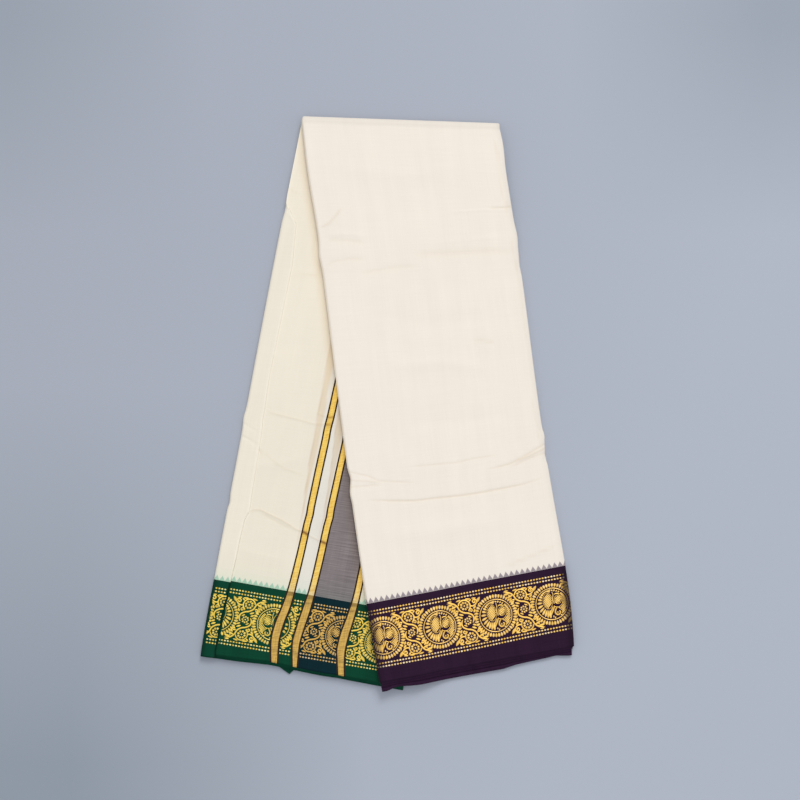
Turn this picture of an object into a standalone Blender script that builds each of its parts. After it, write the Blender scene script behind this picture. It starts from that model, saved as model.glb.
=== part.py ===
# A dhoti: one cotton length with a purple border on one selvedge and a green one on the other.
# It is folded lengthwise into a pack of sixteen layers, folded once more at the top, and fanned out.
# The front pack swings right over the back pack, and both lie on a flat surface at z = 0.
# Sizes are in millimetres and are turned into metres where the meshes are made.

import math

import bpy
import numpy as np
from mathutils import Vector

MM = 0.001

# Thicknesses
LAYERS = 4.6             # the hidden layers of one pack
WALL = 1.0               # the layer of cloth that shows
GAP = 0.3                # clear space between pieces
FOLD_INNER = 0.8         # radius inside the top fold
DRAPE_FROM = 8.0         # the front pack starts to come down this far past the back pack's side
DRAPE_TO = 54.0          # and reaches the floor here
STACK = LAYERS + GAP + WALL + GAP
FOLD_AXIS_Z = LAYERS + FOLD_INNER
UP = Vector((0.0, 0.0, 1.0))

# Both packs from the top fold's axis (down = 0) to the hem (down = 1)
BORDER = 0.84            # where the woven border starts
SIDES = (
    # down, front left x, front right x, back left x, back right x
    (0.00, -94.1, 123.5, -95.2, 124.0),
    (0.12, -83.2, 134.9, -109.3, 110.9),
    (0.24, -72.8, 145.7, -124.3, 97.7),
    (0.36, -64.3, 155.1, -137.5, 84.6),
    (0.48, -54.7, 164.0, -150.9, 71.4),
    (0.60, -44.1, 173.3, -165.1, 58.3),
    (0.72, -34.7, 184.3, -178.2, 45.2),
    (0.84, -23.0, 196.6, -191.9, 32.0),
    (1.00, -6.9, 207.3, -207.3, 17.5),
)
ROW_ENDS = {
    # y at the fold's axis, the border's edge and the hem
    "front left": (312.0, -221.9, -318.5),
    "front right": (304.2, -179.7, -279.1),
    "back left": (312.0, -192.5, -279.6),
    "back right": (304.2, -232.5, -317.4),
}

# Sides of a pack: bundles of layers below, and the rounding under the face cloth
BUNDLE = 1.3
BUNDLE_DEPTH = 0.9
CURL_RUN = 5.0           # how far in from the side the face cloth starts to turn down
CURL_FOOT = 3.2          # height at which it ends

# Rows from the fold to the border. The back pack is flat, so its hidden layers need every second one alone
GROUND_STEPS = 24
FLAT_STEPS = GROUND_STEPS // 2
BORDER_STEPS = 4
INNER_SHARES = 12        # columns across the flat of a pack

# The back pack's left strip, a layer under the face cloth
STRIP_TOP = 3.9
STRIP_RUN = 4.0
STRIP_FOOT = 1.6
STEP_NARROW = 5.0        # distance from the side to the face cloth's edge, near the top
STEP_WIDE = 21.0         # the same, below the place where the face cloth turns in
STEP_FROM = BORDER * 2 / FLAT_STEPS
STEP_TO = BORDER * 3 / FLAT_STEPS
STEP_CURL = 2.0
STEP_FOOT = 4.2

# The end panel woven across the cloth, seen on the back pack
GOLD_WIDTH = 8.3
PANEL = (
    # down, then the left edge of the three gold lines, measured from the pack's left side
    (0.00, 98.0, 119.0, 166.0),
    (0.50, 90.0, 112.0, 159.0),
    (0.75, 86.0, 107.5, 154.0),
    (0.85, 80.5, 103.5, 152.0),
    (1.00, 79.0, 101.0, 153.0),
)

# The largest folds in the face cloths
CREASES = (
    # pack, x, y, direction in degrees, length, width, height
    ("front", -25.4, 179.2, 8.0, 84.0, 34.0, 0.9),
    ("front", 92.6, 171.2, -4.0, 120.0, 36.0, 0.8),
    ("front", 5.6, -68.8, 3.0, 150.0, 30.0, 0.8),
    ("front", 128.6, -60.8, 18.0, 110.0, 30.0, 0.9),
    ("front", 10.6, -106.8, 2.0, 90.0, 28.0, 0.6),
    ("back", -127.4, -124.8, -27.0, 90.0, 26.0, 0.9),
    ("back", -117.4, -16.8, -8.0, 76.0, 26.0, 0.6),
    ("back", -101.4, 143.2, 0.0, 44.0, 30.0, 0.6),
)

# How far each layer reaches at the hem
FRONT_HEMS = {"face": 0.981, "high": 0.988, "mid": 0.994, "low": 1.0}
BACK_HEMS = {"face": 0.996, "strip": 1.0, "high": 0.99, "mid": 0.985, "low": 0.974}
TIP = ((-131.4, -283.8), (-108.4, -298.8), (-103.4, -293.3), (-100.4, -286.8))

COLOURS = {
    "cream": (0.86, 0.80, 0.68),
    "purple": (0.028, 0.012, 0.030),
    "green": (0.004, 0.090, 0.045),
    "dark teal": (0.006, 0.026, 0.032),
    "gold": (0.72, 0.45, 0.08),
    "grey": (0.24, 0.21, 0.22),
}


def clear_scene():
    for item in list(bpy.data.objects):
        bpy.data.objects.remove(item, do_unlink=True)


def fabric(name):
    material = bpy.data.materials.get(name)
    if material is None:
        material = bpy.data.materials.new(name)
        material.use_nodes = True
        shader = material.node_tree.nodes["Principled BSDF"]
        shader.inputs["Base Color"].default_value = (*COLOURS[name], 1.0)
        shader.inputs["Roughness"].default_value = 0.45 if name == "gold" else 0.85
        shader.inputs["Metallic"].default_value = 0.4 if name == "gold" else 0.0
    return material


def make_piece(name, points, faces, cloth):
    mesh = bpy.data.meshes.new(name)
    mesh.from_pydata([tuple(point * MM) for point in points], [], faces)
    mesh.materials.append(fabric(cloth))
    mesh.shade_smooth()
    mesh.set_sharp_from_angle(angle=math.radians(40.0))
    piece = bpy.data.objects.new(name, mesh)
    bpy.context.scene.collection.objects.link(piece)
    return piece


# A wall of cloth between two grids of points with the same rows and columns.
# Every square is split the same way, so that layers keep their distance where they drape.
def wall_piece(name, outer, inner, cloth):
    rows, columns = len(outer), len(outer[0])
    points = [point for row in outer for point in row] + [point for row in inner for point in row]
    inside = rows * columns

    def at(row, column):
        return row * columns + column

    faces = []
    for row in range(rows - 1):
        for column in range(columns - 1):
            lower_half = (at(row, column), at(row + 1, column), at(row + 1, column + 1))
            upper_half = (at(row, column), at(row + 1, column + 1), at(row, column + 1))
            for half in (lower_half, upper_half):
                faces.append(half)
                faces.append(tuple(inside + corner for corner in reversed(half)))
    rim = [at(0, column) for column in range(columns - 1)]
    rim += [at(row, columns - 1) for row in range(rows - 1)]
    rim += [at(rows - 1, column) for column in range(columns - 1, 0, -1)]
    rim += [at(row, 0) for row in range(rows - 1, 0, -1)]
    for here, after in zip(rim, rim[1:] + rim[:1]):
        faces.append((here, after, inside + after, inside + here))
    return make_piece(name, points, faces, cloth)


# A solid through closed rings, with flat ends
def ring_piece(name, rings, cloth):
    count = len(rings[0])
    points = [point for ring in rings for point in ring]
    faces = []
    for station in range(len(rings) - 1):
        for corner in range(count):
            after = (corner + 1) % count
            here, there = station * count, (station + 1) * count
            faces.append((here + after, here + corner, there + after))
            faces.append((here + corner, there + corner, there + after))
    faces.append(tuple(range(count)))
    last = (len(rings) - 1) * count
    faces.append(tuple(last + corner for corner in reversed(range(count))))
    return make_piece(name, points, faces, cloth)


def smooth_step(value, start, end):
    share = min(max((value - start) / (end - start), 0.0), 1.0)
    return share * share * (3.0 - 2.0 * share)


# The plan of one pack: a point is placed by its distance from the left side and its share of the way down
class Pack:
    side_table = np.array(SIDES)
    curve_order = 5

    def __init__(self, name, left_column):
        downs = self.side_table[:, 0]
        self.left = np.polyfit(downs, self.side_table[:, left_column], self.curve_order)
        self.right = np.polyfit(downs, self.side_table[:, left_column + 1], self.curve_order)
        self.left_y = ROW_ENDS[name + " left"]
        self.right_y = ROW_ENDS[name + " right"]
        self.creases = [crease[1:] for crease in CREASES if crease[0] == name]

    def ends(self, down):
        stops = (0.0, BORDER, 1.0)
        left = Vector((float(np.polyval(self.left, down)), float(np.interp(down, stops, self.left_y))))
        right = Vector((float(np.polyval(self.right, down)), float(np.interp(down, stops, self.right_y))))
        return left, right

    def width(self, down):
        left, right = self.ends(down)
        return (right - left).length

    def plan(self, across, down):
        left, right = self.ends(down)
        return left.lerp(right, across / (right - left).length)

    def relief(self, spot):
        total = 0.0
        for x, y, direction, length, width, height in self.creases:
            turn = math.radians(direction)
            away = Vector((spot[0] - x, spot[1] - y))
            along = abs(away.x * math.cos(turn) + away.y * math.sin(turn)) / (length / 2.0)
            beside = abs(away.y * math.cos(turn) - away.x * math.sin(turn)) / (width / 2.0)
            if along < 1.0 and beside < 1.0:
                total += height * math.cos(along * math.pi / 2.0) ** 2 * math.cos(beside * math.pi / 2.0) ** 2
        return total


FRONT = Pack("front", 1)
BACK = Pack("back", 3)
BACK_SIDE_TOP = BACK.ends(0.0)[1]
BACK_SIDE_RUN = (BACK.ends(1.0)[1] - BACK_SIDE_TOP).normalized()


# Height of the front pack's underside: on the back pack, and down to the floor past its right side
def lift(spot):
    offset = spot - BACK_SIDE_TOP
    beyond = offset.y * BACK_SIDE_RUN.x - offset.x * BACK_SIDE_RUN.y
    return STACK * (1.0 - smooth_step(beyond, DRAPE_FROM, DRAPE_TO))


def front_point(across, down, height, creased=False):
    spot = FRONT.plan(across, down)
    rise = FRONT.relief(spot) if creased else 0.0
    return Vector((spot.x, spot.y, lift(spot) + height + rise))


def fold_point(across, turn, height):
    left, right = FRONT.ends(0.0)
    row = (right - left).normalized()
    away = Vector((-row.y, row.x, 0.0))
    spot = FRONT.plan(across, 0.0)
    centre = Vector((spot.x, spot.y, FOLD_AXIS_Z))
    return centre + (UP * math.cos(turn) + away * math.sin(turn)) * (FOLD_INNER + height)


def back_point(across, down, z, creased=False):
    spot = BACK.plan(across, down)
    rise = BACK.relief(spot) if creased else 0.0
    return Vector((spot.x, spot.y, z + rise))


def step_in(down):
    return float(np.interp(down, (STEP_FROM, STEP_TO), (STEP_NARROW, STEP_WIDE)))


# Quarter turn of a pack's side, from upright (0) to flat (90 degrees), as distance in and height
def quarter(run_in, foot, run, rise, steps=3):
    turns = [step * math.pi / 2.0 / steps for step in range(steps + 1)]
    return [(run_in + run * (1.0 - math.cos(turn)), foot + rise * math.sin(turn)) for turn in turns]


# One bundle of layers seen at the side: a rounded edge between two heights
def bundle(low, high):
    middle, half = (low + high) / 2.0, (high - low) / 2.0
    turns = [math.radians(angle) for angle in (-90.0, 0.0, 90.0)]
    return [(BUNDLE_DEPTH * (1.0 - math.cos(turn)), middle + half * math.sin(turn)) for turn in turns]


def layered_side():
    inset = WALL + GAP
    top = quarter(inset, CURL_FOOT, CURL_RUN - inset, LAYERS - CURL_FOOT)
    return bundle(0.0, BUNDLE) + bundle(BUNDLE + GAP, 2.0 * BUNDLE + GAP) + top


# The back pack's left side, from its top to the floor: the step, the shoulder that the strip lies on, a bundle
def stepped_side(down):
    inset = WALL + GAP
    step = step_in(down) + inset
    shoulder = STRIP_TOP - WALL - GAP
    corner = [(step + 1.0, 0.0), (step, 1.0), (step, LAYERS - shoulder)]
    curl = quarter(inset, STRIP_FOOT, STRIP_RUN - inset, shoulder - STRIP_FOOT)
    under = [(run, LAYERS - z) for run, z in reversed(curl)]
    foot = [(run, LAYERS - z) for run, z in reversed(bundle(0.0, BUNDLE))]
    return corner + under + foot


# Distances from the left side for the flat of a pack, between two given distances
def flat_columns(start, end, count=INNER_SHARES):
    return [start + (end - start) * step / count for step in range(1, count)]


# One ring of the hidden layers: inner face, right side, outer face, left side
def layers_ring(place, width, left_side, right_side):
    flat = flat_columns(CURL_RUN, width - CURL_RUN)
    low = [place(max(across, left_side[0][0] + 0.5), 0.0) for across in flat]
    right = [place(width - inset, height) for inset, height in right_side]
    high = [place(across, LAYERS) for across in reversed(flat)]
    left = [place(inset, height) for inset, height in reversed(left_side)]
    return low + right + high + left


def blend_sides(first, second, share):
    return [(a[0] + (b[0] - a[0]) * share, a[1] + (b[1] - a[1]) * share) for a, b in zip(first, second)]


def steps_between(start, end, count):
    return [start + (end - start) * step / count for step in range(count + 1)]


FOLD_TURNS = (150.0, 120.0, 90.0, 60.0, 30.0)
FACE_TURNS = (120.0, 90.0, 60.0, 30.0)
SEAM = GAP / 2.0 / 600.0  # half a seam's gap, as a share of the way down


def hidden_layers():
    side = layered_side()
    rings = []
    for down in steps_between(BORDER - SEAM, 0.0, GROUND_STEPS):
        rings.append(layers_ring(lambda across, height, d=down: front_point(across, d, height),
                                 FRONT.width(down), side, side))
    for degrees in reversed(FOLD_TURNS):
        turn = math.radians(degrees)
        left = blend_sides(side, stepped_side(0.0), float(np.interp(degrees, (FACE_TURNS[0], 180.0), (0.0, 1.0))))
        rings.append(layers_ring(lambda across, height, t=turn: fold_point(across, t, height),
                                 FRONT.width(0.0), left, side))
    for down in steps_between(0.0, BORDER - SEAM, FLAT_STEPS):
        rings.append(layers_ring(lambda across, height, d=down: back_point(across, d, LAYERS - height),
                                 BACK.width(down), stepped_side(down), side))
    return ring_piece("hidden_layers", rings, "cream")


# Columns of a front wall: both sides turn down, the flat lies between
def front_columns(width, height, run_in):
    curl = quarter(run_in, CURL_FOOT, CURL_RUN - run_in, height - CURL_FOOT)
    flat = [(across, height) for across in flat_columns(CURL_RUN, width - CURL_RUN)]
    return curl + flat + [(width - inset, z) for inset, z in reversed(curl)]


def front_wall(name, downs, cloth, turns=()):
    outer, inner = [], []
    top = LAYERS + GAP + WALL
    for grid, height, run_in in ((outer, top, 0.0), (inner, top - WALL, WALL)):
        for degrees in turns:
            columns = front_columns(FRONT.width(0.0), height, run_in)
            grid.append([fold_point(across, math.radians(degrees), z) for across, z in columns])
        for down in downs:
            columns = front_columns(FRONT.width(down), height, run_in)
            grid.append([front_point(across, down, z, creased=True) for across, z in columns])
    return wall_piece(name, outer, inner, cloth)


# A flat wall with rounded sides. columns gives, for a row, the distances from the pack's left side
def slab(name, place, columns, z, thickness, downs, cloth):
    outer, inner = [], []
    for grid, side in ((outer, 0.5), (inner, -0.5)):
        for down in downs:
            start, *flat, end = columns(down)
            spots = [(start, 0.45), (start + 0.6, 0.85)] + [(across, 1.0) for across in flat]
            spots += [(end - 0.6, 0.85), (end, 0.45)]
            grid.append([place(across, down, z + thickness * (0.5 + side * share)) for across, share in spots])
    return wall_piece(name, outer, inner, cloth)


def front_pack():
    ground = steps_between(0.0, BORDER - SEAM, GROUND_STEPS)
    border = steps_between(BORDER + SEAM, FRONT_HEMS["face"], BORDER_STEPS)
    front_wall("front_face", ground, "cream", FACE_TURNS)
    front_wall("front_border", border, "purple")
    under_curl = CURL_RUN - 2.0
    layers = (
        # name, distance in at both sides, height, thickness
        ("low", 0.0, 0.0, BUNDLE),
        ("mid", 0.3, BUNDLE + GAP, BUNDLE),
        ("high", under_curl, 2.0 * (BUNDLE + GAP), LAYERS - 2.0 * (BUNDLE + GAP)),
    )
    for layer, run_in, z, thickness in layers:

        def columns(down, inset=run_in):
            width = FRONT.width(down)
            return [inset] + flat_columns(CURL_RUN, width - CURL_RUN) + [width - inset]

        rows = border + [FRONT_HEMS[layer]]
        slab("front_hem_" + layer, front_point, columns, z, thickness, rows, "purple")


def gold_left(line, down):
    table = np.array(PANEL)
    return float(np.interp(down, table[:, 0], table[:, line]))


# A stretch of the back pack's face cloth between two lines that run down it
def back_wall(name, left, right, downs, cloth, count):
    top = LAYERS + GAP + WALL
    outer, inner = [], []
    for grid, z in ((outer, top), (inner, top - WALL)):
        for down in downs:
            start, end = left(down) + GAP / 2.0, right(down) - GAP / 2.0
            columns = [start] + flat_columns(start, end, count) + [end]
            grid.append([back_point(across, down, z, creased=True) for across in columns])
    return wall_piece(name, outer, inner, cloth)


# The stretch left of the first gold line turns down onto the strip along its left edge
def back_left_wall(name, downs, cloth):
    top = LAYERS + GAP + WALL
    outer, inner = [], []
    for grid, z, run_in in ((outer, top, 0.0), (inner, top - WALL, WALL)):
        for down in downs:
            start, end = step_in(down), gold_left(1, down) - GAP / 2.0
            curl = quarter(run_in, STEP_FOOT, STEP_CURL - run_in, z - STEP_FOOT)
            columns = [(start + inset, height) for inset, height in curl]
            columns += [(across, z) for across in flat_columns(start + STEP_CURL, end, 5)]
            columns.append((end, z))
            grid.append([back_point(across, down, height, creased=True) for across, height in columns])
    return wall_piece(name, outer, inner, cloth)


def strip_wall(name, downs, cloth):
    outer, inner = [], []
    for grid, z, run_in in ((outer, STRIP_TOP, 0.0), (inner, STRIP_TOP - WALL, WALL)):
        for down in downs:
            curl = quarter(run_in, STRIP_FOOT, STRIP_RUN - run_in, z - STRIP_FOOT)
            end = step_in(down) + WALL - 0.2
            columns = curl + [(across, z) for across in flat_columns(STRIP_RUN, end, 2)] + [(end, z)]
            grid.append([back_point(across, down, height) for across, height in columns])
    return wall_piece(name, outer, inner, cloth)


def back_pack():
    ground = steps_between(0.0, BORDER - SEAM, GROUND_STEPS)
    border = steps_between(BORDER + SEAM, BACK_HEMS["face"], BORDER_STEPS)
    back_left_wall("back_face", ground, "cream")
    back_left_wall("back_border", border, "green")

    def left_of(line):
        return lambda down: gold_left(line, down)

    def right_of(line):
        return lambda down: gold_left(line, down) + GOLD_WIDTH

    def pack_side(down):
        return BACK.width(down) + GAP / 2.0

    stretches = (
        # name, left line, right line, cloth of the ground, cloth of the border
        ("gap", right_of(1), left_of(2), "cream", "green"),
        ("band", right_of(2), left_of(3), "grey", "dark teal"),
        ("end", right_of(3), pack_side, "cream", "green"),
    )
    for name, left, right, ground_cloth, border_cloth in stretches:
        back_wall("panel_" + name, left, right, ground, ground_cloth, 2)
        back_wall("panel_" + name + "_border", left, right, border, border_cloth, 2)
    for line in (1, 2, 3):
        rows = ground + border[1:]
        back_wall("gold_line_%d" % line, left_of(line), right_of(line), rows, "gold", 1)

    strip_rows = steps_between(0.0, BORDER - SEAM, FLAT_STEPS)
    strip_wall("left_strip", strip_rows, "cream")
    strip_wall("left_strip_border", steps_between(BORDER + SEAM, BACK_HEMS["strip"], 3), "green")

    def hem(layer, start, z, thickness):
        def columns(down):
            width = BACK.width(down)
            return [start(down)] + flat_columns(start(down), width, 4) + [width]

        rows = steps_between(BORDER + SEAM, BACK_HEMS[layer], 3)
        slab("back_hem_" + layer, back_point, columns, z, thickness, rows, "green")

    shoulder = STRIP_TOP - WALL
    hem("low", lambda down: 0.0, 0.0, BUNDLE)
    hem("mid", lambda down: WALL + GAP + 0.4, BUNDLE + GAP, shoulder - GAP - BUNDLE - GAP)
    hem("high", lambda down: step_in(down) + WALL + GAP, shoulder, LAYERS - shoulder)


# A dark corner of an under layer that shows past the back pack's hem
def hem_tip():
    floor = [Vector((x, y, 0.0)) for x, y in TIP]
    top = [point + UP * BUNDLE for point in floor]
    wall_piece("back_hem_tip", [[top[0], top[3]], [top[1], top[2]]], [[floor[0], floor[3]], [floor[1], floor[2]]],
               "dark teal")


def main():
    clear_scene()
    hidden_layers()
    front_pack()
    back_pack()
    hem_tip()


main()
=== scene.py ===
import math
import random

import bpy
import numpy as np
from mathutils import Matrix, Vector


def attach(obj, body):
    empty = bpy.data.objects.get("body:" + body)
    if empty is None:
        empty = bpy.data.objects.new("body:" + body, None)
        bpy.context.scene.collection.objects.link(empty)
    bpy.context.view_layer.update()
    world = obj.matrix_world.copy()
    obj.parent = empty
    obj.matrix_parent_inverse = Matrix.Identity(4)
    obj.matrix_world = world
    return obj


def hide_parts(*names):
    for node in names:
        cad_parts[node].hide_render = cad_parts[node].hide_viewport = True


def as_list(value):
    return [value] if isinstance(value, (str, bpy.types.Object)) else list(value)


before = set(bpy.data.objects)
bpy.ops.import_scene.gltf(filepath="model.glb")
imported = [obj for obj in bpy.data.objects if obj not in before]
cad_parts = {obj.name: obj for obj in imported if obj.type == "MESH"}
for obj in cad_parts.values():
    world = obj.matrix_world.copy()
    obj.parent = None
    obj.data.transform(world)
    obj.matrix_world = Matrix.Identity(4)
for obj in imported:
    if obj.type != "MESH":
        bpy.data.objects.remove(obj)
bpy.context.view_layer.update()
print("frame loaded:", len(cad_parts), "nodes")

mm = 0.001
random.seed(7)
dice = np.random.default_rng(11)

# the folded cloth: sizes in mm, down = 0 at the top fold's axis and 1 at the hem
cloth = {
    "layers": 4.6,            # hidden layers of one pack
    "wall": 1.0,              # room for the face cloth
    "gap": 0.3,
    "foldInner": 0.8,
    "drapeFrom": 8.0,         # past the back pack's side
    "drapeTo": 54.0,
    "border": 0.84,
    "curlRun": 2.4,           # the face cloth turns down over this run at both sides
    "leftFoot": 0.8,          # the left side is one fold, the right one shows the layers under it
    "rightFoot": 3.2,
    "shell": 0.5,             # thickness of the face cloths as they are drawn
    "cell": 2.0,              # spacing of the mesh
    "curveOrder": 5,
    "packLength": 606.0,      # mm of cloth that down = 0 to 1 stands for above the border
    "offFloor": 0.02,
}
faceTop = cloth["layers"] + cloth["gap"] + cloth["wall"]
stackHeight = faceTop + cloth["gap"]
foldAxisZ = cloth["layers"] + cloth["foldInner"]

# sides of both packs: down, front left x, front right x, back left x, back right x
sides = np.array([
    (0.00, -94.1, 123.5, -95.2, 124.0),
    (0.12, -83.2, 134.9, -109.3, 110.9),
    (0.24, -72.8, 145.7, -124.3, 97.7),
    (0.36, -64.3, 155.1, -137.5, 84.6),
    (0.48, -54.7, 164.0, -150.9, 71.4),
    (0.60, -44.1, 173.8, -165.1, 58.3),
    (0.72, -34.7, 185.1, -178.2, 45.2),
    (0.84, -23.0, 197.4, -191.9, 32.0),
    (1.00, -6.9, 207.3, -207.3, 17.5),
])
# y of each side at the fold's axis, the border's edge and the hem
borderLengths = {"front": 98.8, "back": 89.9}        # border's edge to the lowest hem
rowEnds = {
    "frontLeft": (312.0, -220.9, -318.5),
    "frontRight": (304.2, -178.7, -279.1),
    "backLeft": (312.0, -192.5, -279.6),
    "backRight": (304.2, -232.5, -317.4),
}
# small nicks where a crease meets a side: side, down, size, half length as a share
nicks = [
    ("frontLeft", 0.085, -2.4, 0.075),
    ("frontRight", 0.030, 1.9, 0.035),
    ("frontLeft", 0.235, -1.6, 0.018),
    ("frontLeft", 0.622, 1.8, 0.012),
    ("frontLeft", 0.650, -0.9, 0.010),
    ("frontRight", 0.205, 1.4, 0.020),
    ("frontRight", 0.262, -0.8, 0.014),
    ("frontRight", 0.590, 1.4, 0.011),
    ("frontRight", 0.630, -1.5, 0.012),
    ("backLeft", 0.160, 1.2, 0.014),
    ("backLeft", 0.545, -1.2, 0.014),
    ("backLeft", 0.700, 1.2, 0.010),
]


def smooth(value, start, end):
    share = np.clip((value - start) / (end - start), 0.0, 1.0)
    return share * share * (3.0 - 2.0 * share)


def fade(value, start, end):
    return 1.0 - smooth(value, start, end)


def between(value, riseStart, riseEnd, fallStart, fallEnd):
    return smooth(value, riseStart, riseEnd) * fade(value, fallStart, fallEnd)


def hump(value, middle, spread):
    return np.exp(-((value - middle) / spread) ** 2)


def makePack(name, column):
    order = cloth["curveOrder"]
    return {
        "name": name,
        "left": np.polyfit(sides[:, 0], sides[:, column], order),
        "right": np.polyfit(sides[:, 0], sides[:, column + 1], order),
        "leftY": rowEnds[name + "Left"],
        "rightY": rowEnds[name + "Right"],
        "borderLength": borderLengths[name],
    }


nickReach = 26.0             # mm in from its side over which a nick fades


def nickShift(pack, side, down):
    shift = 0.0 * np.asarray(down, float)
    key = pack["name"] + side.capitalize()
    for nickSide, place, size, half in nicks:
        if nickSide == key:
            shift = shift + size * hump(down, place, half)
    return shift


def sidePoint(pack, side, down):
    down = np.asarray(down, float)
    x = np.polyval(pack[side], down) + nickShift(pack, side, down)
    y = np.interp(down, (0.0, cloth["border"], 1.0), pack[side + "Y"])
    return x, y


def packWidth(pack, down):
    leftX, leftY = sidePoint(pack, "left", down)
    rightX, rightY = sidePoint(pack, "right", down)
    return np.hypot(rightX - leftX, rightY - leftY)


# plan position of points given by their distance from the left side and their share of the way down
def packPlan(pack, across, down):
    leftX, leftY = sidePoint(pack, "left", down)
    rightX, rightY = sidePoint(pack, "right", down)
    width = np.hypot(rightX - leftX, rightY - leftY)
    share = across / width
    leftShift, rightShift = nickShift(pack, "left", down), nickShift(pack, "right", down)
    shift = (leftShift * (hump(across, 0.0, nickReach) - 1.0 + share)
             + rightShift * (hump(across, width, nickReach) - share))
    return leftX + (rightX - leftX) * share + shift, leftY + (rightY - leftY) * share


frontPack = makePack("front", 1)
backPack = makePack("back", 3)


# height of the front pack's underside: on the back pack, then down to the floor past its right side
def drape(x, y):
    topX, topY = sides[0, 4], rowEnds["backRight"][0]
    footX, footY = sides[-1, 4], rowEnds["backRight"][2]
    runX, runY = footX - topX, footY - topY
    length = math.hypot(runX, runY)
    beyond = ((y - topY) * runX - (x - topX) * runY) / length
    return stackHeight * fade(beyond, cloth["drapeFrom"], cloth["drapeTo"])


# creases: half width, height (negative is a trough), then the points that the crease runs through
frontCreases = [
    (0.9, -0.15, [(-58, -72), (-42, -75), (-20, -80), (-10, -85), (36, -87)]),
    (1.1, -0.14, [(-54, -94), (-39, -92), (-17, -90), (-4, -89)]),
    (1.0, 0.14, [(-56, -83), (-40, -84), (-24, -85), (-4, -87)]),
    (1.0, -0.13, [(20, -70), (51, -67), (76, -65), (98, -60), (126, -56)]),
    (1.1, -0.24, [(110, -73), (134, -67), (150, -59), (163, -51), (173, -45), (192, -34)]),
    (1.0, -0.16, [(134, -71), (156, -61), (172, -55), (190, -48)]),
    (1.3, 0.24, [(140, -65), (158, -57), (174, -49), (193, -40)]),
    (1.2, -0.28, [(-26, -106), (4, -107), (31, -107), (54, -104), (85, -101), (105, -98), (131, -93),
                  (150, -89), (166, -84), (177, -77)]),
    (1.0, -0.20, [(112, 216), (130, 217), (146, 219)]),
    (1.6, 0.12, [(129, -181), (150, -172), (182, -159), (191, -150)]),
    (1.4, 0.20, [(-75, 194), (-64, 200), (-55, 210), (-49, 219)]),
    (3.2, -0.15, [(-68, 181), (-47, 181), (-22, 178)]),
    (3.0, 0.14, [(-69, 187), (-46, 188), (-20, 185)]),
    (2.8, -0.16, [(-68, 151), (-60, 157), (-44, 160), (-22, 160)]),
    (3.2, -0.14, [(-34, 144), (-18, 146), (4, 150), (40, 154)]),
    (5.5, -0.18, [(22, 165), (60, 166), (95, 168), (125, 169), (150, 170)]),
    (3.5, 0.10, [(40, 177), (84, 181), (140, 186)]),
    (2.0, 0.12, [(66, 212), (110, 214), (138, 214)]),
    (1.8, -0.12, [(92, 68), (104, 70), (120, 68)]),
    (2.0, 0.10, [(-48, 118), (-40, 116), (-30, 119)]),
    (0.9, 0.14, [(118, 300), (127, 232), (137, 196)]),
    (0.9, -0.12, [(121, 288), (131, 226), (139, 200)]),
    (1.1, 0.12, [(136, 192), (144, 140), (155, 60)]),
    (1.1, 0.12, [(160, 10), (167, -30), (171, -52)]),
    (9.0, 0.35, [(-4, 40), (60, 46), (120, 38)]),
    (12.0, -0.30, [(-20, 96), (50, 88), (130, 98)]),
    (11.0, 0.35, [(-10, -146), (60, -140), (150, -126)]),
    (9.0, -0.25, [(10, -24), (80, -20), (150, -8)]),
    (12.0, 0.30, [(-70, 262), (20, 252), (100, 262)]),
]
backCreases = [
    (1.2, 0.17, [(-137, -5), (-128, -10), (-115, -13), (-99, -17), (-82, -22), (-66, -23),
                  (-50, -25)]),
    (1.0, 0.16, [(-80, -9), (-72, -13), (-64, -15), (-54, -14)]),
    (1.0, -0.26, [(-166, -17), (-160, -21), (-149, -28), (-144, -32)]),
    (1.0, -0.30, [(-166, -33), (-160, -36), (-152, -40), (-145, -45), (-138, -59)]),
    (1.6, 0.08, [(-138, -51), (-126, -63), (-115, -71), (-101, -76), (-90, -81)]),
    (1.1, 0.30, [(-156, -120), (-146, -117), (-141, -117), (-131, -122), (-118, -128), (-105, -136),
                 (-96, -142)]),
    (1.3, -0.15, [(-140, -121), (-131, -126), (-118, -133), (-105, -140)]),
    (1.0, 0.30, [(-108, -137), (-100, -139), (-92, -142), (-84, -147), (-76, -151), (-69, -154),
                 (-58, -157)]),
    (1.6, 0.12, [(-112, 143), (-90, 143), (-70, 143)]),
    (1.2, 0.18, [(-112, 213), (-106, 206), (-100, 199)]),
    (1.0, 0.16, [(-107, 239), (-103, 235), (-99, 233)]),
    (1.0, 0.18, [(-114, 223), (-111, 219), (-108, 215)]),
    (6.0, 0.22, [(-150, -70), (-120, -66), (-90, -60)]),
    (7.0, -0.20, [(-132, 60), (-110, 62), (-84, 68)]),
    (6.0, 0.20, [(-168, -160), (-140, -168), (-112, -172)]),
]
creaseGain = 1.4
ripples = {"count": 26, "shortest": 34.0, "longest": 150.0, "height": 0.05}


def makeRipples():
    waves = []
    for number in range(ripples["count"]):
        length = ripples["shortest"] * (ripples["longest"] / ripples["shortest"]) ** dice.random()
        turn = dice.normal(0.5 * math.pi, 0.6)
        size = 2.0 * math.pi / length
        phase = dice.random() * 6.283
        waves.append((size * math.cos(turn), size * math.sin(turn), phase, length))
    return waves


rippleWaves = makeRipples()


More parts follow.
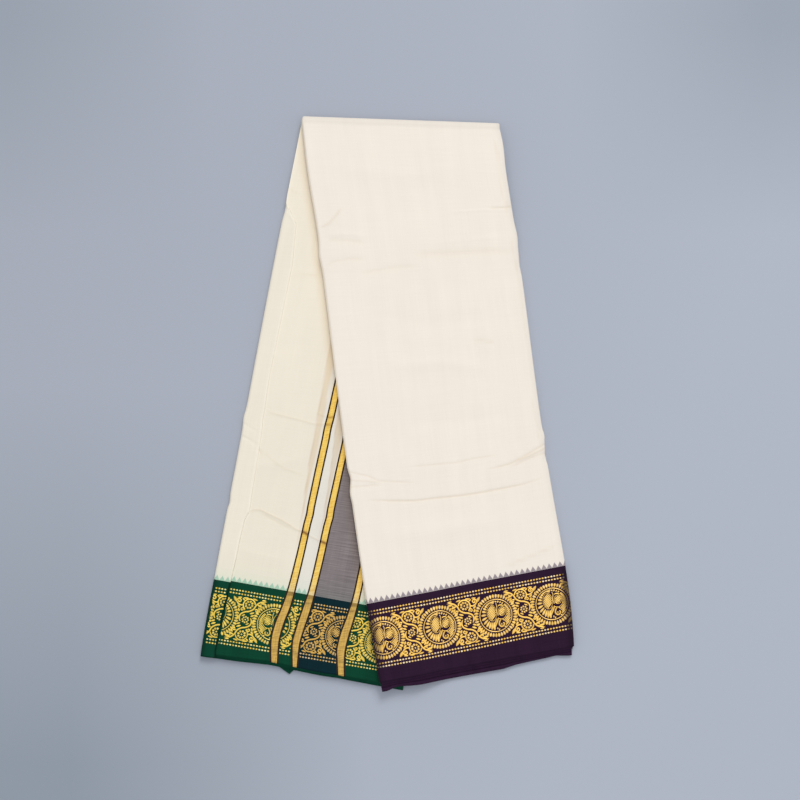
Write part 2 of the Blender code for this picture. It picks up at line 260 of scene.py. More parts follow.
# how near points lie to a crease: 1 on its line, fading at its ends
def creaseShape(x, y, width, path):
    path = np.asarray(path, float)
    runs = np.diff(path, axis=0)
    lengths = np.hypot(runs[:, 0], runs[:, 1])
    starts = np.concatenate([[0.0], np.cumsum(lengths)])
    nearest, along = np.full(x.shape, 1e9), np.zeros(x.shape)
    for (startX, startY), (runX, runY), length, start in zip(path, runs, lengths, starts):
        share = np.clip(((x - startX) * runX + (y - startY) * runY) / length ** 2, 0.0, 1.0)
        distance = np.hypot(x - startX - runX * share, y - startY - runY * share)
        closer = distance < nearest
        nearest = np.where(closer, distance, nearest)
        along = np.where(closer, (start + share * length) / starts[-1], along)
    return between(along, -0.02, 0.2, 0.75, 1.02) / (1.0 + (nearest / width) ** 2) ** 1.5


def relief(x, y, creases):
    total = np.zeros_like(x)
    for width, height, path in creases:
        total += creaseGain * height * creaseShape(x, y, width, path)
    for sizeX, sizeY, phase, length in rippleWaves:
        height = ripples["height"] * (length / ripples["longest"])
        total += height * np.sin(sizeX * x + sizeY * y + phase)
    return total


# painted shade along creases: those narrower than "sharp" are darkened browner along their line, and troughs
# narrower than "soft" a little
creaseShadeLook = {"sharp": 2.0, "soft": 6.0, "sharpTone": 4.0, "softTone": 1.6, "narrow": 0.8}


def creaseShadeTone(x, y, creases, wider=1.0):
    tone = np.zeros_like(x)
    for width, height, path in creases:
        line = width * creaseShadeLook["narrow"]
        if width < creaseShadeLook["sharp"]:
            tone += abs(height) * creaseShadeLook["sharpTone"] * creaseShape(x, y, line * wider, path)
        elif width < creaseShadeLook["soft"] and height < 0:
            tone += abs(height) * creaseShadeLook["softTone"] * creaseShape(x, y, line, path)
    return np.minimum(tone, 1.0)


# arc of the face cloth at a side, from its foot to the flat
def curlArc(foot):
    return 0.5 * math.pi * math.sqrt((cloth["curlRun"] ** 2 + (faceTop - foot) ** 2) / 2.0)


leftArc, rightArc = curlArc(cloth["leftFoot"]), curlArc(cloth["rightFoot"])


def frontTotal(down):
    return packWidth(frontPack, down) - 2.0 * cloth["curlRun"] + leftArc + rightArc


# a front section: distance along the cloth from its left foot gives distance in, height and outward direction
def frontSection(u, width):
    total = width - 2.0 * cloth["curlRun"] + leftArc + rightArc
    fromLeft = u < total / 2.0
    reach = np.where(fromLeft, u, total - u)
    arc = np.where(fromLeft, leftArc, rightArc)
    foot = np.where(fromLeft, cloth["leftFoot"], cloth["rightFoot"])
    turn = np.clip(reach / arc, 0.0, 1.0) * math.pi / 2.0
    rise = faceTop - foot
    inset = cloth["curlRun"] * (1.0 - np.cos(turn)) + np.maximum(reach - arc, 0.0)
    height = foot + rise * np.sin(turn)
    outX, outZ = -np.cos(turn) * rise, np.sin(turn) * cloth["curlRun"]
    size = np.hypot(outX, outZ)
    outX, outZ = outX / size, outZ / size
    across = np.where(fromLeft, inset, width - inset)
    return across, height, np.where(fromLeft, outX, -outX), outZ


# a point on the front cloth: u along the cloth from its left foot, down the pack, raised off its face
def frontPoint(u, down, raised=0.0):
    width = packWidth(frontPack, down)
    across, height, outX, outZ = frontSection(u, width)
    x, y = packPlan(frontPack, across + outX * raised, down)
    onFlat = smooth(height, cloth["rightFoot"], faceTop) * smooth(down, 0.0, 0.05)
    z = drape(x, y) + height + outZ * raised + relief(x, y, frontCreases) * onFlat
    return np.stack([x, y, z], axis=-1)


# the same at the top fold, turn = 0 on the front pack and pi underneath
def foldPoint(across, turn, height):
    leftX, leftY = sidePoint(frontPack, "left", 0.0)
    rightX, rightY = sidePoint(frontPack, "right", 0.0)
    length = math.hypot(rightX - leftX, rightY - leftY)
    awayX, awayY = -(rightY - leftY) / length, (rightX - leftX) / length
    x, y = packPlan(frontPack, across, np.zeros_like(across))
    radius = cloth["foldInner"] + height + 0.0 * x
    return np.stack([x + awayX * radius * np.sin(turn), y + awayY * radius * np.sin(turn),
                     foldAxisZ + radius * np.cos(turn)], axis=-1)


backEdge = {"curl": 1.0, "drop": 0.15, "borderDrop": 0.4}
# lower: the strip's border begins this much lower; tuck: its inner edge dips under the back cloth
strip = {"top": 5.75, "borderTop": 4.9, "run": 2.6, "foot": 1.2, "gap": 0.1, "lower": 1.8, "tuck": 0.6}
# edge of the back face cloth, measured from the pack's left side: down, distance
stepEdge = np.array([
    (0.000, 0.6), (0.150, 0.6), (0.187, 17.0), (0.260, 21.5), (0.475, 19.6), (0.580, 22.6), (0.700, 24.6),
    (0.714, 24.8), (0.728, 21.8), (0.756, 20.9), (0.806, 20.4), (0.840, 19.4), (0.875, 18.4), (0.985, 16.3),
    (1.000, 16.8),
])


def stepIn(down):
    return np.interp(down, stepEdge[:, 0], stepEdge[:, 1])


def stripTop(down):
    return strip["top"] + (strip["borderTop"] - strip["top"]) * smooth(down, 0.78, 0.86)


def backPoint(across, down, z):
    x, y = packPlan(backPack, across, down)
    # no creases where the front pack lies on it, nor round the side
    shown = fade(x - frontLeftX(y), -2.0, 6.0) * smooth(z, 2.0, 4.5)
    rise = relief(x, y, backCreases) * shown
    return np.stack([x, y, z + rise], axis=-1)


frontLeftSide = sidePoint(frontPack, "left", np.linspace(0.0, 1.0, 60))


# x of the front pack's left side at this y in the plan
def frontLeftX(y):
    return np.interp(-y, -frontLeftSide[1], frontLeftSide[0])


def addObject(name, data, place=(0.0, 0.0, 0.0)):
    thing = bpy.data.objects.new(name, data)
    thing.location = place
    bpy.context.scene.collection.objects.link(thing)
    return thing


def makeMesh(name, points, faces, materials, tint, uv=None, faceMaterials=None, smoothShade=True):
    mesh = bpy.data.meshes.new(name)
    mesh.from_pydata((np.asarray(points) * mm).tolist(), [], faces)
    for material in materials:
        mesh.materials.append(material)
    if faceMaterials is not None:
        mesh.polygons.foreach_set("material_index", np.asarray(faceMaterials, np.int32))
    if uv is not None:
        corners = np.zeros(len(mesh.loops), np.int32)
        mesh.loops.foreach_get("vertex_index", corners)
        layer = mesh.uv_layers.new(name="weave")
        layer.uv.foreach_set("vector", (np.asarray(uv)[corners] * mm).astype(np.float32).ravel())
    tints = np.ones((len(points), 4), np.float32)
    tints[:, :3] = tint
    mesh.attributes.new("tint", "FLOAT_COLOR", "POINT").data.foreach_set("color", tints.ravel())
    if smoothShade:
        mesh.shade_smooth()
    return addObject(name, mesh)


# a thin shell under a grid of points, closed round its rim
def makeShell(name, outer, thickness, materials, cellMaterials, uv, tint):
    rows, columns = outer.shape[:2]
    downRun = np.gradient(outer, axis=0)
    acrossRun = np.gradient(outer, axis=1)
    normal = np.cross(downRun, acrossRun)
    normal /= np.maximum(np.linalg.norm(normal, axis=-1, keepdims=True), 1e-9)
    inner = outer - normal * thickness
    inner[..., 2] = np.maximum(inner[..., 2], cloth["offFloor"])
    points = np.concatenate([outer.reshape(-1, 3), inner.reshape(-1, 3)])
    index = np.arange(rows * columns).reshape(rows, columns)
    a, b, c, d = index[:-1, :-1], index[1:, :-1], index[1:, 1:], index[:-1, 1:]
    top = np.stack([a, b, c, d], axis=-1).reshape(-1, 4)
    bottom = top[:, ::-1] + rows * columns
    rim = np.concatenate([index[0, :-1], index[:-1, -1], index[-1, :0:-1], index[:0:-1, 0]])
    after = np.roll(rim, -1)
    edge = np.stack([rim, after, after + rows * columns, rim + rows * columns], axis=-1)
    faces = np.concatenate([top, bottom, edge]).tolist()
    faceMaterials = None
    if cellMaterials is not None:
        flat = cellMaterials.reshape(-1)
        faceMaterials = np.concatenate([flat, flat, cellMaterials[0, :], cellMaterials[:, -1],
                                        cellMaterials[-1, ::-1], cellMaterials[::-1, 0]])
    tint, uv = [np.concatenate([grid.reshape(-1, grid.shape[-1])] * 2) for grid in (tint, uv)]
    return makeMesh(name, points, faces, materials, tint, uv, faceMaterials)


# materials

def nodeTree(name):
    material = bpy.data.materials.new(name)
    material.use_nodes = True
    tree = material.node_tree
    return material, tree, tree.nodes["Principled BSDF"]


# sets plain values on a node's inputs, and joins outputs of other nodes to them
def fill(node, inputs):
    for key, value in inputs.items():
        if isinstance(value, bpy.types.NodeSocket):
            node.id_data.links.new(value, node.inputs[key])
        else:
            node.inputs[key].default_value = (*value, 1.0) if isinstance(value, tuple) else value


def addNode(tree, kind, inputs=None, **settings):
    node = tree.nodes.new("ShaderNode" + kind)
    for key, value in settings.items():
        setattr(node, key, value)
    fill(node, inputs or {})
    return node


def mathNode(operation, first, second=0.0, clamp=False):
    inputs = {0: first, 1: second}
    return addNode(first.id_data, "Math", inputs, operation=operation, use_clamp=clamp).outputs[0]


def plus(first, second, clamp=False):
    return mathNode("ADD", first, second, clamp)


def minus(first, second):
    return mathNode("SUBTRACT", first, second)


def times(first, second, clamp=False):
    return mathNode("MULTIPLY", first, second, clamp)


def over(first, second, clamp=False):
    return mathNode("DIVIDE", first, second, clamp)


def mixColour(tree, share, first, second, blend="MIX"):
    inputs = {0: share, 6: first, 7: second}
    return addNode(tree, "Mix", inputs, data_type="RGBA", blend_type=blend).outputs[2]


def tinted(tree, colour):
    tint = addNode(tree, "Attribute", attribute_name="tint")
    return mixColour(tree, 1.0, colour, tint.outputs["Color"], "MULTIPLY")


# noise over the weave's own millimetres, stretched along and across the cloth
def slubNoise(u, v, lengths, detail=2.0):
    tree = u.id_data
    place = addNode(tree, "CombineXYZ", {0: over(u, lengths[0]), 1: over(v, lengths[1])})
    inputs = {"Scale": 1.0, "Detail": detail, "Vector": place.outputs[0]}
    return addNode(tree, "TexNoise", inputs).outputs[0]


def clothCoordinates(tree):
    weaveMap = addNode(tree, "UVMap", uv_map="weave")
    parts = addNode(tree, "SeparateXYZ", {0: weaveMap.outputs[0]})
    return times(parts.outputs[0], 1.0 / mm), times(parts.outputs[1], 1.0 / mm)


def addBump(shader, height, strength, depth):
    inputs = {"Strength": strength, "Distance": depth * mm, "Height": height}
    bump = addNode(height.id_data, "Bump", inputs)
    fill(shader, {"Normal": bump.outputs[0]})


weave = {
    "pitch": 0.42,
    "bump": 0.25,
    "depth": 0.12,
    "uneven": 1.6,                 # how much single threads stand out
    "unevenThread": (9.0, 0.7),    # mm across and down, as in the ones below
    "weft": (45.0, 1.1),
    "warp": (1.4, 70.0),
    "broad": (14.0, 110.0),
}
tooth = {"pitch": 6.1, "height": 5.2, "foot": 0.8, "sharp": 4.2}
goldWeave = {
    "slant": 0.35,
    "hatch": (12.0, 1.5),
    "long": (1.3, 26.0),
    "darkBelow": 0.88,
    "contrast": 2.8,
    "depth": 0.2,
}
zari = {"twist": 700.0, "depth": 0.1}


# plain weave: over and under threads, with uneven ones among them
def weaveHeight(u, v):
    turnU, turnV = [mathNode("SINE", times(value, math.pi / weave["pitch"])) for value in (u, v)]
    uneven = slubNoise(u, v, weave["unevenThread"])
    return plus(times(turnU, turnV), times(uneven, weave["uneven"]))


# sawtooth points woven from the border into the ground: 1 inside a point
def toothMask(u, v):
    half = tooth["pitch"] / 2.0
    share = over(mathNode("PINGPONG", u, half), half)
    up = over(minus(times(v, -1.0), tooth["foot"]), tooth["height"])
    soft = times(plus(minus(share, up), 0.06), tooth["sharp"], clamp=True)
    return times(soft, times(plus(up, 0.2), 8.0, clamp=True))


# streaks: how much the weft, the warp and broad bands vary
def cottonMaterial(name, colour, toothColour=None, toothShare=0.85, sheen=0.1, variation=0.05, shine=0.25,
                   streaks=(1.0, 1.0, 1.0)):
    material, tree, shader = nodeTree(name)
    u, v = clothCoordinates(tree)
    value = 1.0 - 0.5 * variation * sum(streaks)
    for key, share, detail in zip(("weft", "warp", "broad"), streaks, (2.0, 2.0, 1.0)):
        value = plus(times(slubNoise(u, v, weave[key], detail), variation * share), value)
    shade = addNode(tree, "CombineColor", {0: value, 1: value, 2: value})
    base = tinted(tree, mixColour(tree, 1.0, colour, shade.outputs[0], "MULTIPLY"))
    if toothColour:
        base = mixColour(tree, times(toothMask(u, v), toothShare), base, toothColour)
    fill(shader, {"Base Color": base, "Roughness": 0.85, "Specular IOR Level": shine,
                  "Sheen Weight": sheen, "Sheen Roughness": 0.5})
    addBump(shader, weaveHeight(u, v), weave["bump"], weave["depth"])
    return material


def goldLineMaterial(name, bright, dark):
    material, tree, shader = nodeTree(name)
    u, v = clothCoordinates(tree)
    hatch = slubNoise(u, plus(times(u, goldWeave["slant"]), v), goldWeave["hatch"], 3.0)
    mixed = plus(times(hatch, 1.3), times(slubNoise(u, v, goldWeave["long"]), 0.9))
    share = times(minus(mixed, goldWeave["darkBelow"]), goldWeave["contrast"], clamp=True)
    base = tinted(tree, mixColour(tree, share, dark, bright))
    fill(shader, {"Base Color": base, "Roughness": 0.42, "Metallic": 0.1})
    addBump(shader, hatch, 0.4, goldWeave["depth"])
    return material


def zariMaterial(name, colour):
    material, tree, shader = nodeTree(name)
    place = addNode(tree, "TexCoord").outputs["Object"]
    wave = addNode(tree, "TexWave", {"Scale": zari["twist"], "Vector": place}, bands_direction="DIAGONAL")
    fill(shader, {"Base Color": tinted(tree, colour), "Roughness": 0.38, "Metallic": 0.3})
    addBump(shader, wave.outputs["Fac"], 0.3, zari["depth"])
    return material


colours = {
    "cream": (0.87, 0.80, 0.705),
    "purple": (0.022, 0.006, 0.024),
    "green": (0.001, 0.050, 0.026),
    "teal": (0.001, 0.018, 0.026),
    "grey": (0.222, 0.190, 0.203),
    "edge": (0.035, 0.018, 0.012),
    "toothMauve": (0.22, 0.18, 0.22),
    "toothGreen": (0.22, 0.50, 0.36),
    "gold": (1.0, 0.70, 0.16),
    "goldDark": (0.84, 0.50, 0.07),
    "goldBorder": (0.74, 0.46, 0.10),
    "goldBorderDark": (0.44, 0.26, 0.05),
    "zari": (0.98, 0.58, 0.11),
    "zariGreen": (0.78, 0.55, 0.07),
}
creamFront = cottonMaterial("creamFront", colours["cream"], colours["toothMauve"])
creamBack = cottonMaterial("creamBack", colours["cream"], colours["toothGreen"], 0.7)
creamPlain = cottonMaterial("creamPlain", colours["cream"])
purpleCotton = cottonMaterial("purpleCotton", colours["purple"], sheen=0.03, variation=0.5, shine=0.14)
greenCotton = cottonMaterial("greenCotton", colours["green"], sheen=0.0, variation=0.4, shine=0.12)
tealCotton = cottonMaterial("tealCotton", colours["teal"], sheen=0.0, variation=0.4, shine=0.12)
greyCotton = cottonMaterial("greyCotton", colours["grey"], variation=0.6, streaks=(2.0, 0.4, 0.5))
edgeCotton = cottonMaterial("edgeCotton", colours["edge"], sheen=0.0, shine=0.1)
goldLine = goldLineMaterial("goldLine", colours["gold"], colours["goldDark"])
goldOnBorder = goldLineMaterial("goldOnBorder", colours["goldBorder"], colours["goldBorderDark"])
zariThread = zariMaterial("zariThread", colours["zari"])
zariOnGreen = zariMaterial("zariOnGreen", colours["zariGreen"])
print("materials made")


# rows as shares of the way down: close together at the small creases, and one on the border's edge
def rowsDown(pack, end, closeBands=(), close=1.0, wide=3.0):
    rows, down = [0.0], 0.0
    while down < cloth["border"]:
        inBand = any(start <= down <= finish for start, finish in closeBands)
        down += (close if inBand else wide) / cloth["packLength"]
        rows.append(min(down, cloth["border"]))
    steps = int((end - cloth["border"]) / (1.0 - cloth["border"]) * pack["borderLength"] / cloth["cell"])
    return np.concatenate([rows, np.linspace(cloth["border"], end, steps + 1)[1:]])


# millimetres down from the border's edge, and back
def fromBorder(pack, down):
    below = (down - cloth["border"]) / (1.0 - cloth["border"]) * pack["borderLength"]
    return np.where(down > cloth["border"], below, (down - cloth["border"]) * cloth["packLength"])


def downFromBorder(pack, distance):
    return cloth["border"] + distance / pack["borderLength"] * (1.0 - cloth["border"])


# the weave's own place of a row of points, in mm
def weaveRow(across, below):
    return np.stack([across, np.full_like(across, float(below))], axis=-1)


# 1 in the cells of a grid that lie below a limit, 0 above it
def cellsBelow(downs, limit, columns):
    middle = (downs[1:] + downs[:-1]) / 2.0
    return np.repeat((middle > limit).astype(np.int32)[:, None], columns - 1, axis=1)


# takes a share of each colour away
def darken(tint, share, colour=(1.0, 1.0, 1.0)):
    return tint * (1.0 - np.asarray(share)[..., None] * np.array(colour))


# hems as shares of the way down
hems = {"face": 0.983, "backFace": 0.9935, "strip": 0.999}

# the hems aren't straight: distance across, mm that the hem is drawn up there
hemBows = {
    "front": np.array([(0, 0.0), (8, -0.3), (13, 2.0), (22, 2.6), (32, 1.2), (45, 0.0), (100, 0.2),
                       (138, 0.0), (152, 2.0), (172, 2.8), (186, 3.2), (198, 4.0), (210, 1.6), (222, 0.3)]),
    "back": np.array([(0, -0.4), (19, 0.7), (42, 1.3), (66, 2.7), (78, 3.4), (98, 2.6), (115, 1.8),
                      (128, 1.3), (140, 1.1), (155, 1.5), (165, 1.1), (190, 0.5), (225, 0.0)]),
}


# shares of the way down for a row of points, drawn up near the hem by the bow or by a part of it
def bowed(pack, across, down, part=1.0):
    bow = hemBows[pack["name"]]
    share = part * smooth(down, 0.955, 0.99) * (1.0 - cloth["border"]) / pack["borderLength"]
    return np.full_like(across, down) - share * np.interp(across, bow[:, 0], bow[:, 1])


# sizes in mm; colours and shades are shares of red, green and blue that are taken away, as painted shade;
# negative shares add painted light
front = {
    "closeRows": [(0.135, 0.29), (0.57, 0.70)],
    "foldEnd": 122.0,                # degrees round the top fold, out of sight past it
    "foldRows": 14,
    "foldWeave": (-500.0, -6.7),     # the weave's place at the fold, and its run round it
    "usualRun": 228.0,               # along the cloth from foot to foot
    "curlCells": (7, 6),             # at the left side and at the right one
    # painted shade along the creases, round the top fold, on the right side and at the border's sides;
    # painted light on the left rim
    "crease": (0.085, 0.12, 0.17),
    "leftRimLight": (-0.22, -0.16, -0.02),
    "foldShade": 0.20,
    "rightShade": 0.09,
    "borderShade": 0.35,
}


# painted shade in creases, round the top fold, along the right side and at the border's turned sides, and
# painted light on the shaded left rim
def frontPaintedShading(grid, uv, rowDown, fromRim):
    fromRight = uv[..., 0].max(axis=1, keepdims=True) - uv[..., 0]
    onBorder = (rowDown > cloth["border"])[:, None]
    leftRimLight = fade(uv[..., 0], 1.0, 5.0) * ~onBorder
    inner = np.minimum(uv[..., 0], fromRight)
    tint = darken(np.ones(grid.shape), creaseShadeTone(grid[..., 0], grid[..., 1], frontCreases), front["crease"])
    tint = darken(tint, front["foldShade"] * fade(fromRim, 1.5, 10.5)[:, None])
    tint = darken(tint, front["rightShade"] * fade(fromRight, 2.0, 8.0))
    tint = darken(tint, leftRimLight, front["leftRimLight"])
    return darken(tint, front["borderShade"] * onBorder * fade(inner, 2.0, 12.0))


def buildFrontCloth():
    foldTurns = np.radians(np.linspace(front["foldEnd"], 0.0, front["foldRows"])[:-1])
    downs = rowsDown(frontPack, hems["face"], front["closeRows"])
    share = np.linspace(0.0, 1.0, int(packWidth(frontPack, 0.5) / cloth["cell"]) + 1)
    leftCurl, rightCurl = [np.linspace(0.0, arc / front["usualRun"], cells)
                           for arc, cells in zip((leftArc, rightArc), front["curlCells"])]
    middle = share[(share > leftCurl[-1] + 0.003) & (share < 1 - rightCurl[-1] - 0.003)]
    share = np.concatenate([leftCurl, middle, 1 - rightCurl[::-1]])
    u = share * frontTotal(0.0)
    across, height, outX, outZ = frontSection(u, packWidth(frontPack, 0.0))
    rows = [foldPoint(across, turn, height) for turn in foldTurns]
    uvs = [weaveRow(u, front["foldWeave"][0] + turn * front["foldWeave"][1]) for turn in foldTurns]
    for down in downs:
        u = share * frontTotal(down)
        rows.append(frontPoint(u, np.full_like(u, down)))
        uvs.append(weaveRow(u, fromBorder(frontPack, down)))
    grid, uv = np.stack(rows), np.stack(uvs)
    rowDown = np.concatenate([np.zeros(len(foldTurns)), downs])
    cells = cellsBelow(rowDown, cloth["border"], grid.shape[1])
    foldDepth = cloth["foldInner"] + faceTop
    fromRim = np.concatenate([foldDepth * (1.0 - np.sin(np.minimum(foldTurns, math.pi / 2.0))),
                              foldDepth + downs * cloth["packLength"]])
    tint = frontPaintedShading(grid, uv, rowDown, fromRim)
    piece = makeShell("frontCloth", grid, cloth["shell"], [creamFront, purpleCotton], cells, uv, tint)
    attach(piece, "root")
    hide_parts("front_face", "front_border")
    return piece


# gold lines of the end panel: down, then left and right edge of each, in mm from the pack's left side
panel = np.array([
    (0.00, 100.0, 108.0, 121.0, 129.0, 168.0, 176.0),
    (0.49, 90.9, 99.0, 113.6, 121.4, 161.0, 169.0),
    (0.61, 88.2, 96.6, 110.8, 118.9, 158.4, 166.4),
    (0.72, 86.5, 94.6, 108.5, 116.8, 156.8, 164.8),
    (0.78, 85.0, 93.3, 107.3, 115.6, 156.0, 164.0),
    (0.83, 82.8, 91.6, 105.6, 113.8, 155.0, 163.0),
    (0.87, 79.8, 89.8, 102.4, 112.2, 152.2, 161.6),
    (0.91, 75.4, 85.8, 99.4, 109.2, 148.6, 159.2),
    (0.94, 74.2, 84.4, 98.0, 107.4, 147.9, 158.4),
    (0.96, 75.4, 85.0, 99.3, 107.8, 149.9, 159.3),
    (1.00, 78.4, 86.8, 102.6, 108.9, 154.0, 162.4),
])
showThrough = np.array([
    # down, left and right edge of the strip left of the first line, and of the one left of the second
    (0.00, 82.0, 88.5, 104.0, 112.0),
    (0.47, 79.0, 85.8, 101.2, 110.0),
    (0.54, 80.0, 87.2, 102.0, 110.2),
    (0.61, 80.2, 85.8, 104.4, 109.4),
    (0.65, 81.2, 84.6, 105.6, 108.8),
    (0.70, 82.8, 84.3, 106.2, 107.6),
    (0.78, 83.5, 84.0, 104.6, 105.2),
])


# a soft curve through one column of the table
def panelEdge(column, down):
    places, values = panel[:, 0], panel[:, column]
    slopes = np.gradient(values, places)
    spot = np.clip(np.searchsorted(places, down) - 1, 0, len(places) - 2)
    run = places[spot + 1] - places[spot]
    share = (down - places[spot]) / run
    rest = 1.0 - share
    return (rest ** 2 * ((1.0 + 2.0 * share) * values[spot] + share * run * slopes[spot])
            + share ** 2 * ((1.0 + 2.0 * rest) * values[spot + 1] - rest * run * slopes[spot + 1]))


# sizes in mm; ground and stripGround are tints, the other colours are shares that are taken away
back = {
    "closeRows": [(0.14, 0.19), (0.50, 0.785)],
    "edgeThread": 1.3,               # dark thread on each side of a gold line
    "threadOut": 0.45,               # the part of it that lies outside the line
    "weaveFrom": 80.0,               # the weave is counted from here
    "ground": (0.985, 0.985, 0.935),
    "stripGround": (0.96, 0.965, 0.925),
    # painted shade along creases, on the cream and on the gold lines below
    "crease": (0.07, 0.10, 0.15),
    "creaseShadeOnGold": (0.66, 0.78, 0.88),
    # painted shadow of the front pack on the back cloth
    "shadowBesideFront": (0.045, 0.085, 0.145),
    "peach": (0.03, 0.02, -1.5),
    "rows": (10.8, 69.2),            # where the dotted rows darken the gold lines
    "showThrough": (0.09, 0.15, 0.23),
    "showThroughEdge": (0.06, 0.08, 0.08),
    "gap": (0.07, 0.035, -0.04),
    "bleed": (0.30, 0.06, 0.16),     # the green that runs up into the cream
    "bleedRun": 9.0,
}
ground, thread, gold, greyBand, green, teal, goldBorder = range(7)
# material above the border's edge and below it
plainPair, threadPair = (ground, green), (thread, thread)
goldPair, bandPair = (gold, goldBorder), (greyBand, teal)
# what lies left of each gold line and right of the last, and its cells
backSpans = [(plainPair, 34), (plainPair, 9), (bandPair, 20), (plainPair, 22)]


# where each stretch of a row ends, how many cells it has and its material
def backStops(line, width):
    stops = []
    for number, (kind, cells) in enumerate(backSpans[:3]):
        left, right = line[2 * number:2 * number + 2]
        stops += [(left - back["threadOut"], cells, kind), (left + back["edgeThread"], 1, threadPair),
                  (right - back["edgeThread"], 4, goldPair), (right + back["threadOut"], 1, threadPair)]
    return stops + [(width, backSpans[3][1], backSpans[3][0])]


def buildBackCloth():
    downs = rowsDown(backPack, hems["backFace"], back["closeRows"])[1:]
    curlTurns = np.linspace(0.0, math.pi / 2.0, 4)
    inset = backEdge["curl"] * (1.0 - np.cos(curlTurns))
    moreDrop = backEdge["borderDrop"] - backEdge["drop"]
    cells, rows, uvs, tints = [], [], [], []
    for down in downs:
        line = [float(panelEdge(column, down)) for column in range(1, 7)]
        drop = backEdge["drop"] + moreDrop * float(smooth(down, 0.70, 0.80))
        across = list(float(stepIn(down)) + inset)
        z = list(faceTop - drop * (1.0 - np.sin(curlTurns)))
        kinds = [plainPair] * (len(curlTurns) - 1)
        for end, count, kind in backStops(line, float(packWidth(backPack, down))):
            begin = across[-1]
            across += [begin + (end - begin) * step / count for step in range(1, count + 1)]
            z += [faceTop] * count
            kinds += [kind] * count
        across = np.array(across)
        rows.append(backPoint(across, bowed(backPack, across, down), np.array(z)))
        below = float(fromBorder(backPack, down))
        uvs.append(weaveRow(across - back["weaveFrom"], below))
        tints.append(backTint(across, down, below, line, rows[-1]))
        cells.append(kinds)
    grid, uv, tint = np.stack(rows), np.stack(uvs), np.stack(tints)
    onBorder = cellsBelow(downs, cloth["border"], 2)[:, 0]
    cellMaterials = np.array([[kind[low] for kind in kinds] for kinds, low in zip(cells, onBorder)], np.int32)
    materials = [creamBack, edgeCotton, goldLine, greyCotton, greenCotton, tealCotton, goldOnBorder]
    piece = makeShell("backCloth", grid, cloth["shell"], materials, cellMaterials, uv, tint)
    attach(piece, "root")
    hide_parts("back_face", "back_border", "gold_line_1", "gold_line_2", "gold_line_3", "panel_gap",
                "panel_gap_border", "panel_band", "panel_band_border", "panel_end", "panel_end_border")
    return piece


# tints on the back cloth: show-through strips, the cooler gap between the lines, green bleeding upwards,
# painted shade in creases, beside the front pack and along the left edge on the border, and painted light on
# that edge above the border
def backTint(across, down, below, line, points):
    x, y = points[:, 0], points[:, 1]
    onGold = sum(between(across, left - 0.5, left, right, right + 0.5)
                 for left, right in (line[0:2], line[2:4], line[4:6]))
    tint = np.tile(back["ground"], (len(across), 1)) * (1.0 - 0.035 * float(smooth(down, 0.3, 0.7)))
    # painted shade in the creases, darker on the gold lines
    tint = darken(tint, creaseShadeTone(x, y, backCreases) * (1.0 - onGold), back["crease"])
    tint = darken(tint, creaseShadeTone(x, y, backCreases, 2.2) * onGold, back["creaseShadeOnGold"])
    # painted shadow beside the front pack's left side
    tint = darken(tint, between(frontLeftX(y) - x, -1.0, 3.0, 3.0, 12.0), back["shadowBesideFront"])
    fromEdge = across - across[0]
    strips = [float(np.interp(down, showThrough[:, 0], showThrough[:, column])) for column in range(1, 5)]
    shows = fade(down, 0.68, 0.79)
    if below >= 0.0:
        underRows = sum(hump(below, row, 2.4) for row in back["rows"])
        tint = darken(tint, (0.44 * fade(below, 3.5, 6.5) + 0.28 * underRows) * onGold)
        # painted shadow along the back cloth's left edge on the border
        tint = darken(tint, 0.25 * fade(fromEdge, 0.0, 2.0))
    else:
        tint = darken(tint, math.exp(below / back["bleedRun"]) * onGold, back["peach"])
        # painted light on the back cloth's curled left edge, which lies in shade
        tint = darken(tint, -0.12 * fade(fromEdge, 0.3, 1.3))
        gap = between(across, line[1] - 0.5, line[1] + 0.5, line[2] - 0.5, line[2] + 0.5)
        beside = between(across, strips[1], strips[1] + 1.0, line[0] - 0.8, line[0]) * shows
        tint = darken(tint, gap * 0.8 + beside, back["gap"])
        tint = darken(tint, math.exp(below / back["bleedRun"]) * 0.5, back["bleed"])
    for left, right in (strips[:2], strips[2:]):
        inside = between(across, left - 0.7, left + 0.5, right - 0.6, right + 0.6) * shows
        edge = hump(across, left + 0.3, 0.9) * shows
        tint *= (1.0 - inside[:, None] * np.array(back["showThrough"])
                 - edge[:, None] * np.array(back["showThroughEdge"]))
    return tint


